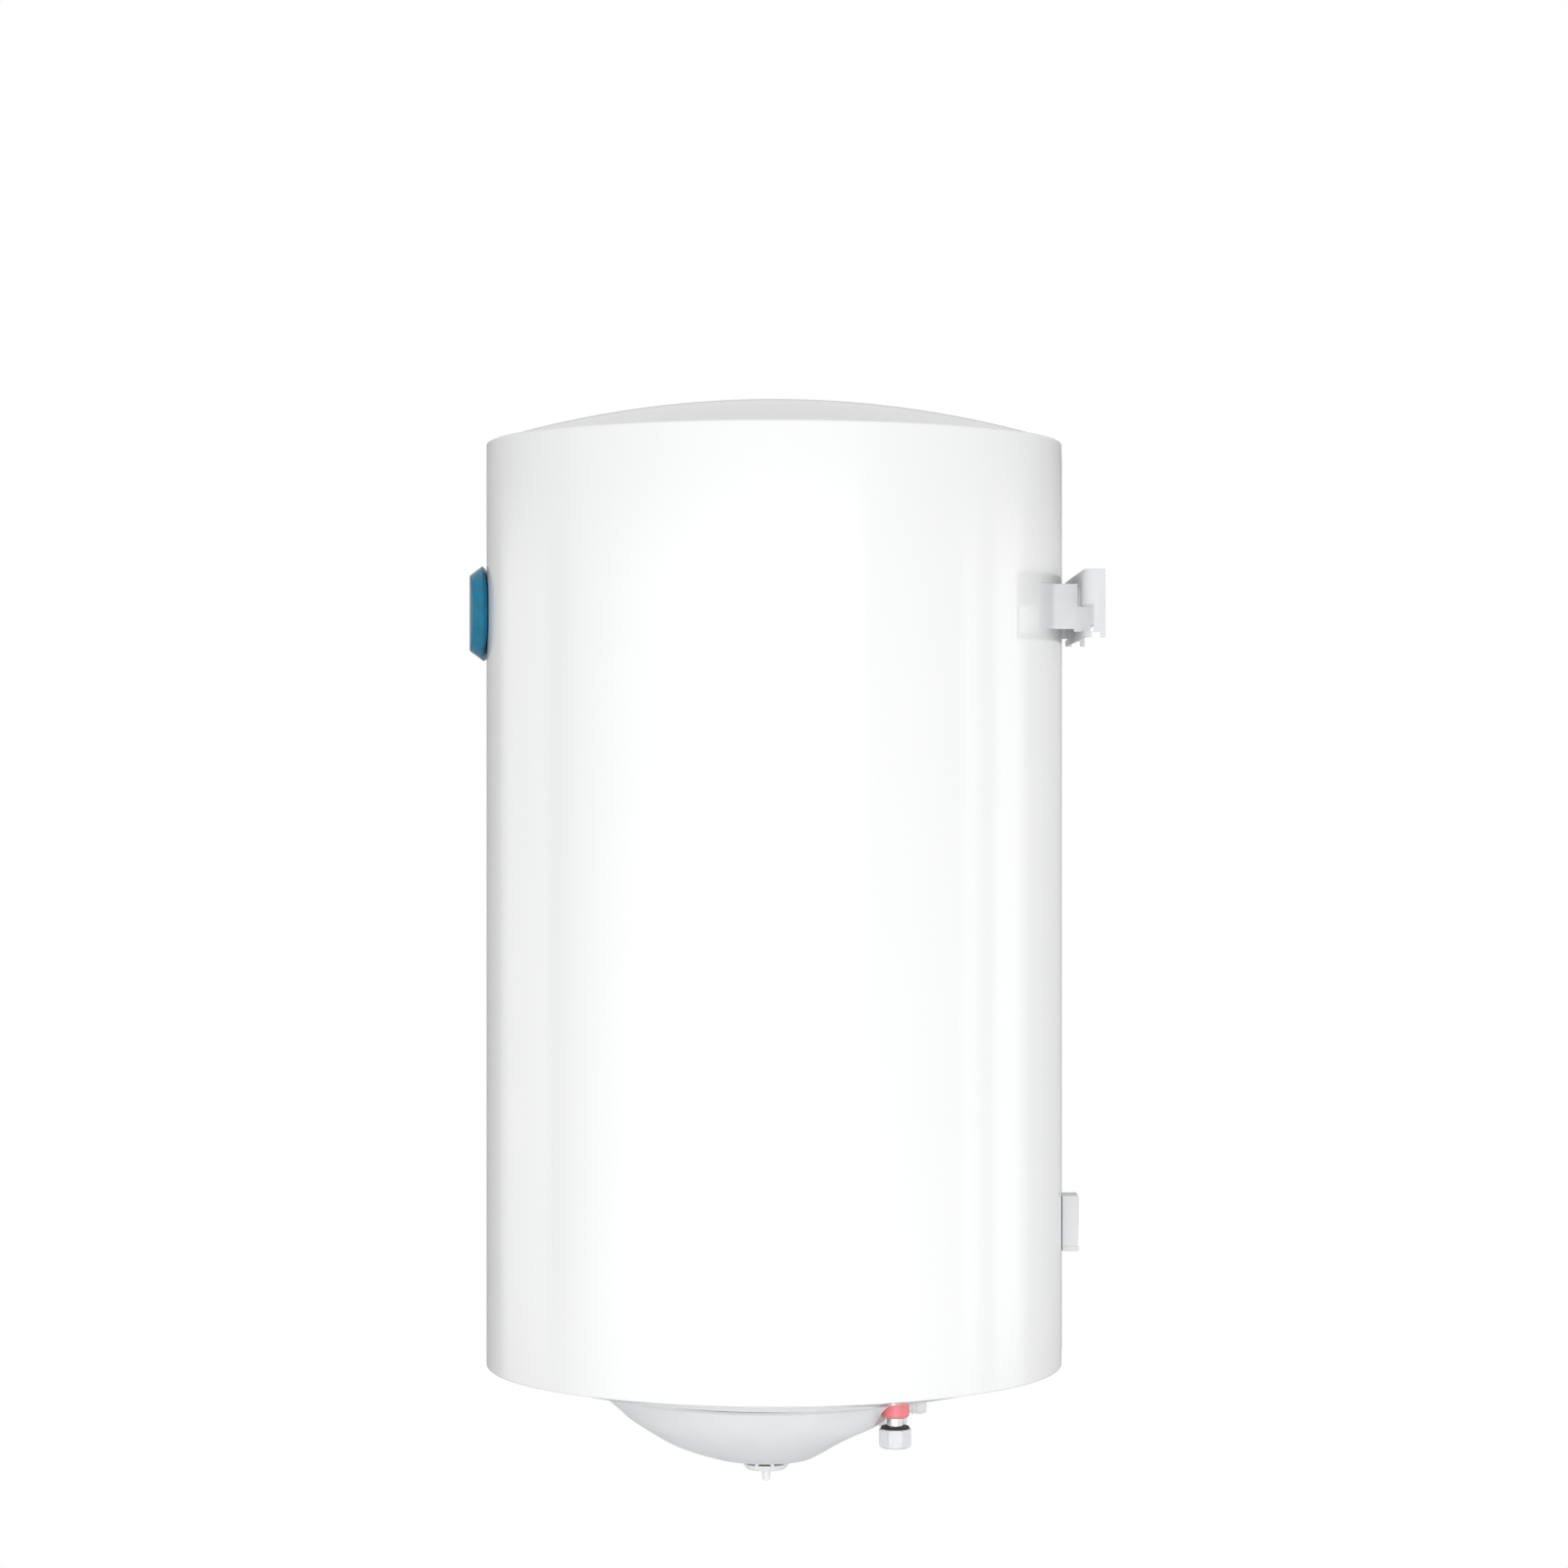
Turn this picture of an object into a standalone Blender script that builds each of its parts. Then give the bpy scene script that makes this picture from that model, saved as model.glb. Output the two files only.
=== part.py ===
# Wall-hung electric tank water heater, about 80 litres, built as separate pieces.
#
# Frame: metres, +Z up. The origin is the middle of the hanger bracket's pad that
# touches the wall. +Y points into the wall, -Y is the front with the badge, and +X
# is the side with the hot pipe.

import math

import bmesh
import bpy
from mathutils import Matrix, Vector

# ---------------------------------------------------------------- driving sizes
GAP = 0.0003                 # clearance kept between neighbouring pieces

CASE_RADIUS = 0.2165         # outer radius of the steel jacket
CASE_WALL = 0.001
AXIS_Y = -0.242              # tank axis, measured from the wall plane
RIM_TOP = 0.1223             # top rim of the jacket
RIM_BOTTOM = -0.5698         # bottom rim of the jacket
RIM_ROUND = 0.0045           # radius of the rolled rim edge
CAP_RADIUS = 0.2117          # outer radius of both dished caps
TOP_RISE = 0.0314            # height of the top dish over its rim
BOTTOM_RISE = 0.0310         # depth of the bottom dish under its rim
CAP_SKIRT = 0.006            # the cap's edge, folded into the jacket

TANK_RADIUS = 0.1935         # pressure vessel, 2 mm enamelled steel
TANK_WALL = 0.002
TANK_SHOULDER_TOP = 0.075    # where the straight wall meets the heads
TANK_SHOULDER_BOTTOM = -0.520
TANK_HEAD = 0.060            # depth of each elliptical head
TANK_MOUTH = 0.045           # radius of the flange opening
FOAM_CLEAR = 0.0035          # between the tank and the foam, whose facets differ

FLANGE_HOLE = 0.066          # opening in the bottom cap and foam round the flange
NECK_RADIUS = 0.060
NECK_TOP = -0.5800
NECK_BOTTOM = -0.5955
GASKET_THICK = 0.0027
PLATE_THICK = 0.004
BOLT_CIRCLE = 0.0525
BOLT_COUNT = 5
BOLT_RADIUS = 0.004
BOLT_HEAD_RADIUS = 0.0075
BOLT_HEAD_HEIGHT = 0.0053

KNOB_Y = AXIS_Y - 0.006      # thermostat, spindle and knob share this line
ELEMENT_Y = AXIS_Y + 0.014
ELEMENT_TUBE = 0.004
ELEMENT_LEGS = (-0.024, -0.008, 0.008, 0.024)
ELEMENT_TOP = -0.330
ELEMENT_DIP = -0.500
ELEMENT_END = -0.6125
ANODE_Y = AXIS_Y - 0.031

PIPE_X = 0.050               # half the 100 mm spacing of the water connections
PIPE_Y = AXIS_Y + 0.090
PIPE_RADIUS = 0.0062
PIPE_BORE = 0.0048
PIPE_TOP = -0.560
PIPE_END = -0.6215
COLLAR_RADIUS = 0.0105
COLLAR_TOP = RIM_BOTTOM - 0.0192
COLLAR_BOTTOM = RIM_BOTTOM - 0.0338
SEAL_RADIUS = 0.0106
SEAL_TOP = RIM_BOTTOM - 0.0402
NUT_TOP = RIM_BOTTOM - 0.0420
NUT_BOTTOM = RIM_BOTTOM - 0.0564
NUT_CORNER = 0.0127          # octagon, 23.5 mm across its flats
NUT_SOCKET = 0.0092

COVER_WALL = 0.0025
COVER_SIDES = 64
COVER_FLOOR = RIM_BOTTOM - 0.0722
# (distance from the knob line, depth under the jacket's bottom rim) down the cover
COVER_FRONT = [(0.129, 0.0186), (0.121, 0.0243), (0.113, 0.0312), (0.104, 0.0393),
               (0.090, 0.0486), (0.075, 0.0578), (0.055, 0.0660), (0.031, 0.0722), (0.0062, 0.0722)]
COVER_SIDE = [(0.126, 0.0204), (0.120, 0.027), (0.112, 0.035), (0.102, 0.0430),
              (0.088, 0.0515), (0.072, 0.0590), (0.052, 0.0665), (0.031, 0.0722), (0.0062, 0.0722)]
COVER_REAR = [(0.106, 0.0245), (0.1005, 0.029), (0.0950, 0.0362), (0.087, 0.0430),
              (0.076, 0.0470), (0.060, 0.0552), (0.045, 0.0652), (0.031, 0.0722), (0.0062, 0.0722)]
NOTCH_RADIUS = 0.0145        # recess of the cover round each pipe

KNOB_TOP = RIM_BOTTOM - 0.0763
KNOB_RING = RIM_BOTTOM - 0.0807
KNOB_END = RIM_BOTTOM - 0.0893
KNOB_RADIUS = 0.017
SPINDLE_RADIUS = 0.002
BUSH_RADIUS = 0.0055
BODY_TOP = -0.6035           # thermostat housing
BODY_BOTTOM = -0.6285

LENS_RADIUS = 0.0055
LENS_Y = AXIS_Y - 0.074
LENS_DEPTH = 0.0588
LENS_SLOPE = math.radians(22)

GLAND_Z = RIM_BOTTOM - 0.0326
GLAND_RADIUS = 0.0066
GLAND_BORE = 0.004
GLAND_START = AXIS_Y + 0.0905
GLAND_END = AXIS_Y + 0.115

BRACKET_HALF = 0.100         # half the width of the hanger bracket
BRACKET_TOP = 0.0236
BRACKET_BOTTOM = -0.0264
BRACKET_STEEL = 0.002
BRACKET_PLATE_Y = -0.0135    # wall-side face of the bracket's plate
BRACKET_BEND = 0.007
BRACKET_PAD = (0.060, 0.030)   # width and height of the pressed pad that touches the wall
BRACKET_NOTCH = (-0.0100, -0.0035, -0.0225)   # step under both end flanges: from and to along Y, its top
HOOK_X = 0.054
HOOK_Z = 0.005
ARM_X = 0.072
ARM_TOP = 0.0140
ARM_BOTTOM = -0.0194
ARM_END = -0.018             # where the arm narrows to its tongue
ARM_FOOT = 0.024             # length of the foot along the jacket
TONGUE_TOP = -0.0026
TONGUE_BOTTOM = -0.0214
TONGUE_END = -0.0088
ARM_STEEL = 0.0025

SPACER_TOP = -0.4430
SPACER_BOTTOM = -0.4849
SPACER_FACE_Y = -0.0127      # ends short of the wall plane
SPACER_HALF = 0.012

BADGE_Z = -0.0049
BADGE_HEIGHT = 0.069
BADGE_WIDTH = 0.080
BADGE_CORNER = 0.016
BADGE_FACE_Y = AXIS_Y - 0.2294
BADGE_SPLIT_Y = AXIS_Y - 0.2220

SHELL_STEPS = 48
INNER_STEPS = 24
SMALL_STEPS = 24


# ---------------------------------------------------------------- scene helpers
def clear_scene():
    for obj in list(bpy.data.objects):
        bpy.data.objects.remove(obj)


def new_collection(name):
    collection = bpy.data.collections.new(name)
    bpy.context.scene.collection.children.link(collection)
    return collection


def make_material(name, colour, roughness, metallic=0.0):
    material = bpy.data.materials.new(name)
    material.use_nodes = True
    shader = material.node_tree.nodes["Principled BSDF"]
    shader.inputs["Base Color"].default_value = (*colour, 1.0)
    shader.inputs["Roughness"].default_value = roughness
    shader.inputs["Metallic"].default_value = metallic
    return material


def add_object(name, mesh, finish, location=(0, 0, 0)):
    obj = bpy.data.objects.new(name, mesh)
    PARTS.objects.link(obj)
    obj.location = location
    colour, roughness, metallic = FINISHES[finish]
    mesh.materials.clear()
    mesh.materials.append(make_material(name, colour, roughness, metallic))
    return obj


def add_cutter(name, mesh, location=(0, 0, 0), rotation=(0, 0, 0)):
    obj = bpy.data.objects.new(name, mesh)
    CUTTERS.objects.link(obj)
    obj.location = location
    obj.rotation_euler = rotation
    obj.hide_render = True
    obj.display_type = 'WIRE'
    return obj


def cut(obj, cutter, operation='DIFFERENCE'):
    modifier = obj.modifiers.new(cutter.name, 'BOOLEAN')
    modifier.operation = operation
    modifier.solver = 'EXACT'
    modifier.object = cutter


# ---------------------------------------------------------------- mesh builders
def rod_mesh(name, radius, depth, sides=SMALL_STEPS, tip_radius=None):
    """A closed cylinder or cone about its own Z, from -depth/2 to +depth/2."""
    mesh = bpy.data.meshes.new(name)
    bm = bmesh.new()
    tip = radius if tip_radius is None else tip_radius
    bmesh.ops.create_cone(bm, cap_ends=True, segments=sides, radius1=radius, radius2=tip, depth=depth)
    bm.to_mesh(mesh)
    bm.free()
    return mesh


def rods_mesh(name, places, radius, depth, sides=SMALL_STEPS):
    """Several equal upright cylinders in one mesh, used as one cutter."""
    mesh = bpy.data.meshes.new(name)
    bm = bmesh.new()
    for place in places:
        bmesh.ops.create_cone(bm, cap_ends=True, segments=sides, radius1=radius, radius2=radius,
                              depth=depth, matrix=Matrix.Translation(place))
    bm.to_mesh(mesh)
    bm.free()
    return mesh


def block_mesh(name, size, taper=1.0):
    """A box of the given size; taper shrinks its -Y face."""
    mesh = bpy.data.meshes.new(name)
    bm = bmesh.new()
    bmesh.ops.create_cube(bm, size=1.0)
    for vert in bm.verts:
        scale = taper if vert.co.y < 0 else 1.0
        vert.co.x *= size[0] * scale
        vert.co.y *= size[1]
        vert.co.z *= size[2] * scale
    bm.to_mesh(mesh)
    bm.free()
    return mesh


def profile_mesh(name, profile, closed):
    """Edges through (radius, height) points: down the outer side, and up the inner one if closed."""
    mesh = bpy.data.meshes.new(name)
    bm = bmesh.new()
    verts = [bm.verts.new((radius, 0.0, height)) for radius, height in profile]
    for first, second in zip(verts, verts[1:]):
        bm.edges.new((first, second))
    if closed:
        bm.edges.new((verts[-1], verts[0]))
    bm.to_mesh(mesh)
    bm.free()
    return mesh


def turn(obj, steps):
    screw = obj.modifiers.new("Turn", 'SCREW')
    screw.steps = steps
    screw.render_steps = steps
    screw.use_merge_vertices = True
    screw.merge_threshold = 0.00001


def turned(name, profile, finish, location, closed, steps=SMALL_STEPS):
    """A turned piece: a profile with a Screw modifier about its own Z."""
    obj = add_object(name, profile_mesh(name, profile, closed), finish, location)
    turn(obj, steps)
    return obj


def dish(height, edge_height, rise, edge_radius, wall, inner_radius, count):
    """Points (radius, height) over a spherical dish, from inner_radius out to its edge."""
    sphere = (edge_radius ** 2 + rise ** 2) / (2 * abs(rise))
    up = 1 if height == 'top' else -1
    points = []
    for step in range(count + 1):
        radius = inner_radius + (edge_radius - inner_radius) * step / count
        drop = sphere - math.sqrt(sphere ** 2 - radius ** 2)
        points.append((radius, edge_height + up * (abs(rise) - drop - wall)))
    return points


def head(centre, depth, radius, inner_radius, count):
    """Points over half an ellipse, from inner_radius out to the straight wall."""
    start = math.asin(inner_radius / radius)
    points = []
    for step in range(count + 1):
        angle = start + (math.pi / 2 - start) * step / count
        points.append((radius * math.sin(angle), centre + depth * math.cos(angle)))
    return points


def tube(name, points, radius, finish, resolution=2):
    """A round bar along points, as a curve with filled caps."""
    curve = bpy.data.curves.new(name, 'CURVE')
    curve.dimensions = '3D'
    curve.bevel_depth = radius
    curve.bevel_resolution = resolution
    curve.use_fill_caps = True
    spline = curve.splines.new('POLY')
    spline.points.add(len(points) - 1)
    for point, place in zip(spline.points, points):
        point.co = (*place, 1.0)
    return add_object(name, curve, finish)


def folded_strip(name, path, top, bottom, steel, finish, bend_radius):
    """A steel strip folded along a path seen from above, with rounded folds."""
    mesh = bpy.data.meshes.new(name)
    bm = bmesh.new()
    rows = [[bm.verts.new((x, y, z)) for x, y in path] for z in (top, bottom)]
    for index in range(len(path) - 1):
        bm.faces.new((rows[0][index], rows[0][index + 1], rows[1][index + 1], rows[1][index]))
    folds = [edge for edge in bm.edges if len(edge.link_faces) == 2]
    bmesh.ops.bevel(bm, geom=folds, offset=bend_radius, segments=3, affect='EDGES', profile=0.5)
    bm.to_mesh(mesh)
    bm.free()
    obj = add_object(name, mesh, finish)
    solid = obj.modifiers.new("Steel", 'SOLIDIFY')
    solid.thickness = steel
    solid.offset = 0.0
    return obj


def bevel(obj, width, segments=2):
    modifier = obj.modifiers.new("Edges", 'BEVEL')
    modifier.width = width
    modifier.segments = segments
    modifier.limit_method = 'ANGLE'


def cap_depth(radius):
    """Depth of the bottom cap's outer face under the jacket's bottom rim."""
    sphere = (CAP_RADIUS ** 2 + BOTTOM_RISE ** 2) / (2 * BOTTOM_RISE)
    return math.sqrt(sphere ** 2 - radius ** 2) - (sphere - BOTTOM_RISE)


def pipe_places(height=0.0):
    return [Vector((side * PIPE_X, PIPE_Y - AXIS_Y, height)) for side in (1, -1)]


# ---------------------------------------------------------------- shell and insulation
def build_jacket():
    """Rolled steel jacket with both rims turned in."""
    outer = []
    for step in range(3):
        angle = math.radians(90 - 45 * step)
        outer.append((CASE_RADIUS - RIM_ROUND * (1 - math.cos(angle)),
                      RIM_TOP - RIM_ROUND * (1 - math.sin(angle))))
    lower = [(radius, RIM_BOTTOM + RIM_TOP - height) for radius, height in reversed(outer)]
    inner = [(CASE_RADIUS - CASE_WALL, RIM_BOTTOM + RIM_ROUND + CASE_WALL),
             (CASE_RADIUS - CASE_WALL, RIM_TOP - RIM_ROUND - CASE_WALL)]
    profile = outer + lower + inner
    turned("jacket", profile, 'white enamel', (0, AXIS_Y, 0), True, SHELL_STEPS)


def build_top_cap():
    outer = dish('top', RIM_TOP, TOP_RISE, CAP_RADIUS, 0.0, 0.0, 5)
    inner = dish('top', RIM_TOP, TOP_RISE, CAP_RADIUS, CASE_WALL, 0.0, 5)
    edge = CAP_RADIUS - CASE_WALL
    skirt = [(CAP_RADIUS, RIM_TOP - CAP_SKIRT), (edge, RIM_TOP - CAP_SKIRT)]
    inner[-1] = (edge, RIM_TOP - CASE_WALL)
    turned("top_cap", outer + skirt + inner[::-1], 'white enamel', (0, AXIS_Y, 0), False, SHELL_STEPS)


def build_bottom_cap():
    """Bottom dish with the flange opening and a hole for each pipe sleeve."""
    outer = dish('bottom', RIM_BOTTOM, BOTTOM_RISE, CAP_RADIUS, 0.0, FLANGE_HOLE, 5)
    inner = dish('bottom', RIM_BOTTOM, BOTTOM_RISE, CAP_RADIUS, CASE_WALL, FLANGE_HOLE, 5)
    edge = CAP_RADIUS - CASE_WALL
    inner[-1] = (edge, RIM_BOTTOM + CASE_WALL)
    skirt = [(edge, RIM_BOTTOM + CAP_SKIRT), (CAP_RADIUS, RIM_BOTTOM + CAP_SKIRT)]
    cap = turned("bottom_cap", inner + skirt + outer[::-1], 'white enamel', (0, AXIS_Y, 0), True,
                 SHELL_STEPS)
    holes = rods_mesh("cap_hole_cutter", pipe_places(RIM_BOTTOM - 0.02), COLLAR_RADIUS + 0.0004, 0.03)
    cut(cap, add_cutter("cap_hole_cutter", holes, (0, AXIS_Y, 0)))


def build_foam():
    """Foam that fills the space between the jacket and the tank."""
    clear = 0.0010
    side = CASE_RADIUS - CASE_WALL - 0.0010
    edge = CAP_RADIUS - CASE_WALL - 0.0012
    profile = dish('top', RIM_TOP, TOP_RISE, CAP_RADIUS, CASE_WALL + clear, 0.0, 4)
    profile[-1] = (edge, RIM_TOP - CASE_WALL - clear)
    profile += [(edge, RIM_TOP - CAP_SKIRT - clear), (side, RIM_TOP - CAP_SKIRT - 2 * clear),
                (side, RIM_BOTTOM + CAP_SKIRT + 2 * clear), (edge, RIM_BOTTOM + CAP_SKIRT + clear)]
    floor = dish('bottom', RIM_BOTTOM, BOTTOM_RISE, CAP_RADIUS, CASE_WALL + clear, FLANGE_HOLE, 4)
    floor[-1] = (edge, RIM_BOTTOM + CASE_WALL + clear)
    profile += floor[::-1]
    grown = TANK_RADIUS + FOAM_CLEAR
    lower = head(TANK_SHOULDER_BOTTOM, -(TANK_HEAD + FOAM_CLEAR), grown, FLANGE_HOLE, 4)
    upper = head(TANK_SHOULDER_TOP, TANK_HEAD + FOAM_CLEAR, grown, 0.0, 5)
    profile += lower + upper[::-1]
    foam = turned("insulation_foam", profile, 'foam', (0, AXIS_Y, 0), False, INNER_STEPS)
    holes = rods_mesh("foam_hole_cutter", pipe_places(RIM_BOTTOM), COLLAR_RADIUS + 0.0010, 0.08)
    cut(foam, add_cutter("foam_hole_cutter", holes, (0, AXIS_Y, 0)))


def build_tank():
    """Enamelled pressure vessel, open at the flange mouth and at the two pipes."""
    outer = head(TANK_SHOULDER_TOP, TANK_HEAD, TANK_RADIUS, 0.0, 5)
    outer += head(TANK_SHOULDER_BOTTOM, -TANK_HEAD, TANK_RADIUS, TANK_MOUTH, 5)[::-1]
    bore = TANK_RADIUS - TANK_WALL
    inner = head(TANK_SHOULDER_BOTTOM, TANK_WALL - TANK_HEAD, bore, TANK_MOUTH, 5)
    inner += head(TANK_SHOULDER_TOP, TANK_HEAD - TANK_WALL, bore, 0.0, 5)[::-1]
    tank = turned("inner_tank", outer + inner, 'tank enamel', (0, AXIS_Y, 0), False, INNER_STEPS)
    holes = rods_mesh("tank_hole_cutter", pipe_places(RIM_BOTTOM), PIPE_RADIUS + 0.0004, 0.10)
    cut(tank, add_cutter("tank_hole_cutter", holes, (0, AXIS_Y, 0)))


# ---------------------------------------------------------------- flange group
def bolt_places(height=0.0):
    places = []
    for index in range(BOLT_COUNT):
        angle = math.radians(54 + 360 * index / BOLT_COUNT)
        places.append(Vector((BOLT_CIRCLE * math.cos(angle), BOLT_CIRCLE * math.sin(angle), height)))
    return places


def ring_profile(outer, inner, top, bottom):
    return [(outer, top), (outer, bottom), (inner, bottom), (inner, top)]


def gasket_top():
    return NECK_BOTTOM - GAP


def plate_top():
    return gasket_top() - GASKET_THICK - GAP


def plate_bottom():
    return plate_top() - PLATE_THICK


def build_flange():
    """Welded neck, rubber gasket and the plate that carries element and anode."""
    middle = (0, AXIS_Y, 0)
    neck = turned("flange_neck", ring_profile(NECK_RADIUS, TANK_MOUTH + 0.0005, NECK_TOP, NECK_BOTTOM),
                  'steel', middle, True, INNER_STEPS)
    low = gasket_top() - GASKET_THICK
    gasket = turned("flange_gasket", ring_profile(NECK_RADIUS - 0.001, TANK_MOUTH, gasket_top(), low),
                    'black rubber', middle, True, INNER_STEPS)
    disc = rod_mesh("flange_plate", NECK_RADIUS + 0.001, PLATE_THICK, INNER_STEPS)
    plate = add_object("flange_plate", disc, 'steel', (0, AXIS_Y, plate_top() - PLATE_THICK / 2))
    bolts = rods_mesh("bolt_hole_cutter", bolt_places(NECK_BOTTOM), BOLT_RADIUS + 0.0005, 0.06, 12)
    bolt_cutter = add_cutter("bolt_hole_cutter", bolts, middle)
    for piece in (neck, gasket, plate):
        cut(piece, bolt_cutter)
    legs = [Vector((x, ELEMENT_Y - AXIS_Y, plate_top())) for x in (ELEMENT_LEGS[0], ELEMENT_LEGS[-1])]
    legs.append(Vector((0, ANODE_Y - AXIS_Y, plate_top())))
    leg_mesh = rods_mesh("leg_hole_cutter", legs, ELEMENT_TUBE + 0.0004, 0.02, 16)
    cut(plate, add_cutter("leg_hole_cutter", leg_mesh, middle))
    well = rod_mesh("well_hole_cutter", 0.0065, 0.02)
    cut(plate, add_cutter("well_hole_cutter", well, (0, KNOB_Y, plate_top())))


def build_flange_bolts():
    """Five hexagon bolts: each is a head joined to its shank."""
    head_top = plate_bottom() - GAP
    length = 0.020
    for index, place in enumerate(bolt_places(), start=1):
        head_mesh = rod_mesh(f"bolt_head_{index}", BOLT_HEAD_RADIUS, BOLT_HEAD_HEIGHT, 6)
        centre = (place.x, AXIS_Y + place.y, head_top - BOLT_HEAD_HEIGHT / 2)
        bolt = add_object(f"flange_bolt_{index}", head_mesh, 'steel', centre)
        shank = rod_mesh(f"bolt_shank_{index}", BOLT_RADIUS, length + 0.002, 12)
        shank_z = head_top + length / 2 - 0.001
        cut(bolt, add_cutter(f"bolt_shank_{index}", shank, (centre[0], centre[1], shank_z)), 'UNION')


def build_element():
    """Tubular heating element: one tube bent into a W and passed twice through the plate."""
    bend = (ELEMENT_LEGS[1] - ELEMENT_LEGS[0]) / 2
    points = [(ELEMENT_LEGS[0], ELEMENT_Y, ELEMENT_END)]
    for index in range(3):
        centre_x = (ELEMENT_LEGS[index] + ELEMENT_LEGS[index + 1]) / 2
        over = index % 2 == 0
        centre_z = ELEMENT_TOP if over else ELEMENT_DIP
        for step in range(7):
            angle = math.pi * (1 - step / 6)
            swing = bend * math.sin(angle)
            points.append((centre_x + bend * math.cos(angle), ELEMENT_Y,
                           centre_z + (swing if over else -swing)))
    points.append((ELEMENT_LEGS[-1], ELEMENT_Y, ELEMENT_END))
    tube("heating_element", points, ELEMENT_TUBE, 'element alloy')


def build_anode():
    """Magnesium anode on its threaded stud, held by a nut under the plate."""
    place = (0, ANODE_Y, 0)
    low = plate_top() + 0.003
    turned("anode_rod", [(0, -0.300), (0.009, -0.300), (0.011, -0.303), (0.011, low), (0.0038, low),
                         (0.0038, -0.6130), (0, -0.6130)], 'magnesium', place, False, 16)
    top = plate_bottom() - GAP
    nut = rod_mesh("anode_nut", 0.0065, 0.005, 6)
    obj = add_object("anode_nut", nut, 'steel', (0, ANODE_Y, top - 0.0025))
    hole = rod_mesh("anode_nut_cutter", 0.0042, 0.02, 16)
    cut(obj, add_cutter("anode_nut_cutter", hole, (0, ANODE_Y, top)))


# ---------------------------------------------------------------- thermostat group
def build_thermostat():
    """Rod thermostat: well, rod, housing, bush and the overheat reset button."""
    place = (0, KNOB_Y, 0)
    well_low = plate_bottom() - 0.0001
    turned("thermowell", [(0, -0.330), (0.006, -0.330), (0.006, well_low), (0.005, well_low),
                          (0.005, -0.332), (0, -0.332)], 'copper', place, False, 16)
    turned("thermostat_rod", [(0, -0.345), (0.004, -0.345), (0.004, BODY_TOP + GAP),
                              (0, BODY_TOP + GAP)], 'brass', place, False, 16)
    height = BODY_TOP - BODY_BOTTOM
    housing = add_object("thermostat_body", block_mesh("thermostat_body", (0.036, 0.030, height)),
                         'bakelite', (0, KNOB_Y - 0.001, (BODY_TOP + BODY_BOTTOM) / 2))
    bevel(housing, 0.0015)
    shaft = rod_mesh("shaft_hole_cutter", SPINDLE_RADIUS + 0.0006, 0.010, 16)
    cut(housing, add_cutter("shaft_hole_cutter", shaft, (0, KNOB_Y, BODY_BOTTOM)))
    button = rod_mesh("button_hole_cutter", 0.0030, 0.016, 16)
    cut(housing, add_cutter("button_hole_cutter", button, (0.012, KNOB_Y - 0.009, BODY_BOTTOM)))
    bush_top = BODY_BOTTOM - GAP
    bush_low = KNOB_TOP - 0.0016
    turned("thermostat_bush", ring_profile(BUSH_RADIUS, SPINDLE_RADIUS + 0.0006, bush_top, bush_low),
           'brass', place, True, 16)
    turned("reset_button", [(0, BODY_BOTTOM + 0.004), (0.0025, BODY_BOTTOM + 0.004),
                            (0.0025, BODY_BOTTOM - 0.0020), (0.0018, BODY_BOTTOM - 0.0028),
                            (0, BODY_BOTTOM - 0.0028)], 'red plastic', (0.012, KNOB_Y - 0.009, 0),
           False, 16)


def build_knob():
    """Spindle, the knob pressed on it and the ring nut that holds the cover."""
    place = (0, KNOB_Y, 0)
    spindle_low = KNOB_RING - 0.0040
    turned("thermostat_spindle", [(0, BODY_BOTTOM + 0.003), (SPINDLE_RADIUS, BODY_BOTTOM + 0.003),
                                  (SPINDLE_RADIUS, spindle_low), (0, spindle_low)],
           'brass', place, False, 16)
    recess = KNOB_TOP - 0.0022
    bore = SPINDLE_RADIUS + GAP
    profile = [(0.0125, KNOB_TOP), (KNOB_RADIUS - 0.001, KNOB_TOP), (KNOB_RADIUS, KNOB_TOP - 0.001),
               (0.0140, KNOB_RING), (0.0044, KNOB_RING), (0.0037, KNOB_RING - 0.0008),
               (0.0029, KNOB_END + 0.0008), (0.0022, KNOB_END), (0, KNOB_END),
               (0, spindle_low - GAP), (bore, spindle_low - GAP), (bore, recess), (0.0125, recess)]
    turned("thermostat_knob", profile + [(0.0125, KNOB_TOP - 0.0002)], 'white plastic', place, True)
    nut_top = COVER_FLOOR - GAP
    turned("cover_nut", ring_profile(0.0100, BUSH_RADIUS + GAP, nut_top, nut_top - 0.0030),
           'grey plastic', place, True)


# ---------------------------------------------------------------- wiring and indicator
def smooth_path(points, count):
    """Points along a Catmull-Rom curve through the given ones."""
    ends = [points[0]] + points + [points[-1]]
    path = []
    for index in range(len(points) - 1):
        before, start, end, after = (Vector(point) for point in ends[index:index + 4])
        for step in range(count):
            part = step / count
            path.append(0.5 * (2 * start + (end - before) * part
                               + (2 * before - 5 * start + 4 * end - after) * part ** 2
                               + (3 * start - before - 3 * end + after) * part ** 3))
    path.append(Vector(points[-1]))
    return path


def build_wiring():
    """Terminal block behind the thermostat and the three cores that reach it."""
    block = add_object("terminal_block", block_mesh("terminal_block", (0.030, 0.013, 0.012)),
                       'grey plastic', (0, AXIS_Y + 0.0365, plate_bottom() - GAP - 0.006))
    bevel(block, 0.0010)
    cores = (("live_wire", 0.009, 'brown plastic'), ("earth_wire", 0.0, 'green plastic'),
             ("neutral_wire", -0.009, 'blue plastic'))
    for name, x, finish in cores:
        near = x * 0.24
        route = [(near, GLAND_START - 0.001, GLAND_Z), (near * 1.6, GLAND_START - 0.014, GLAND_Z - 0.006),
                 (x * 0.9, AXIS_Y + 0.058, GLAND_Z - 0.010), (x, AXIS_Y + 0.0436, GLAND_Z - 0.0085)]
        tube(name, smooth_path(route, 4), 0.0009, finish)


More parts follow.
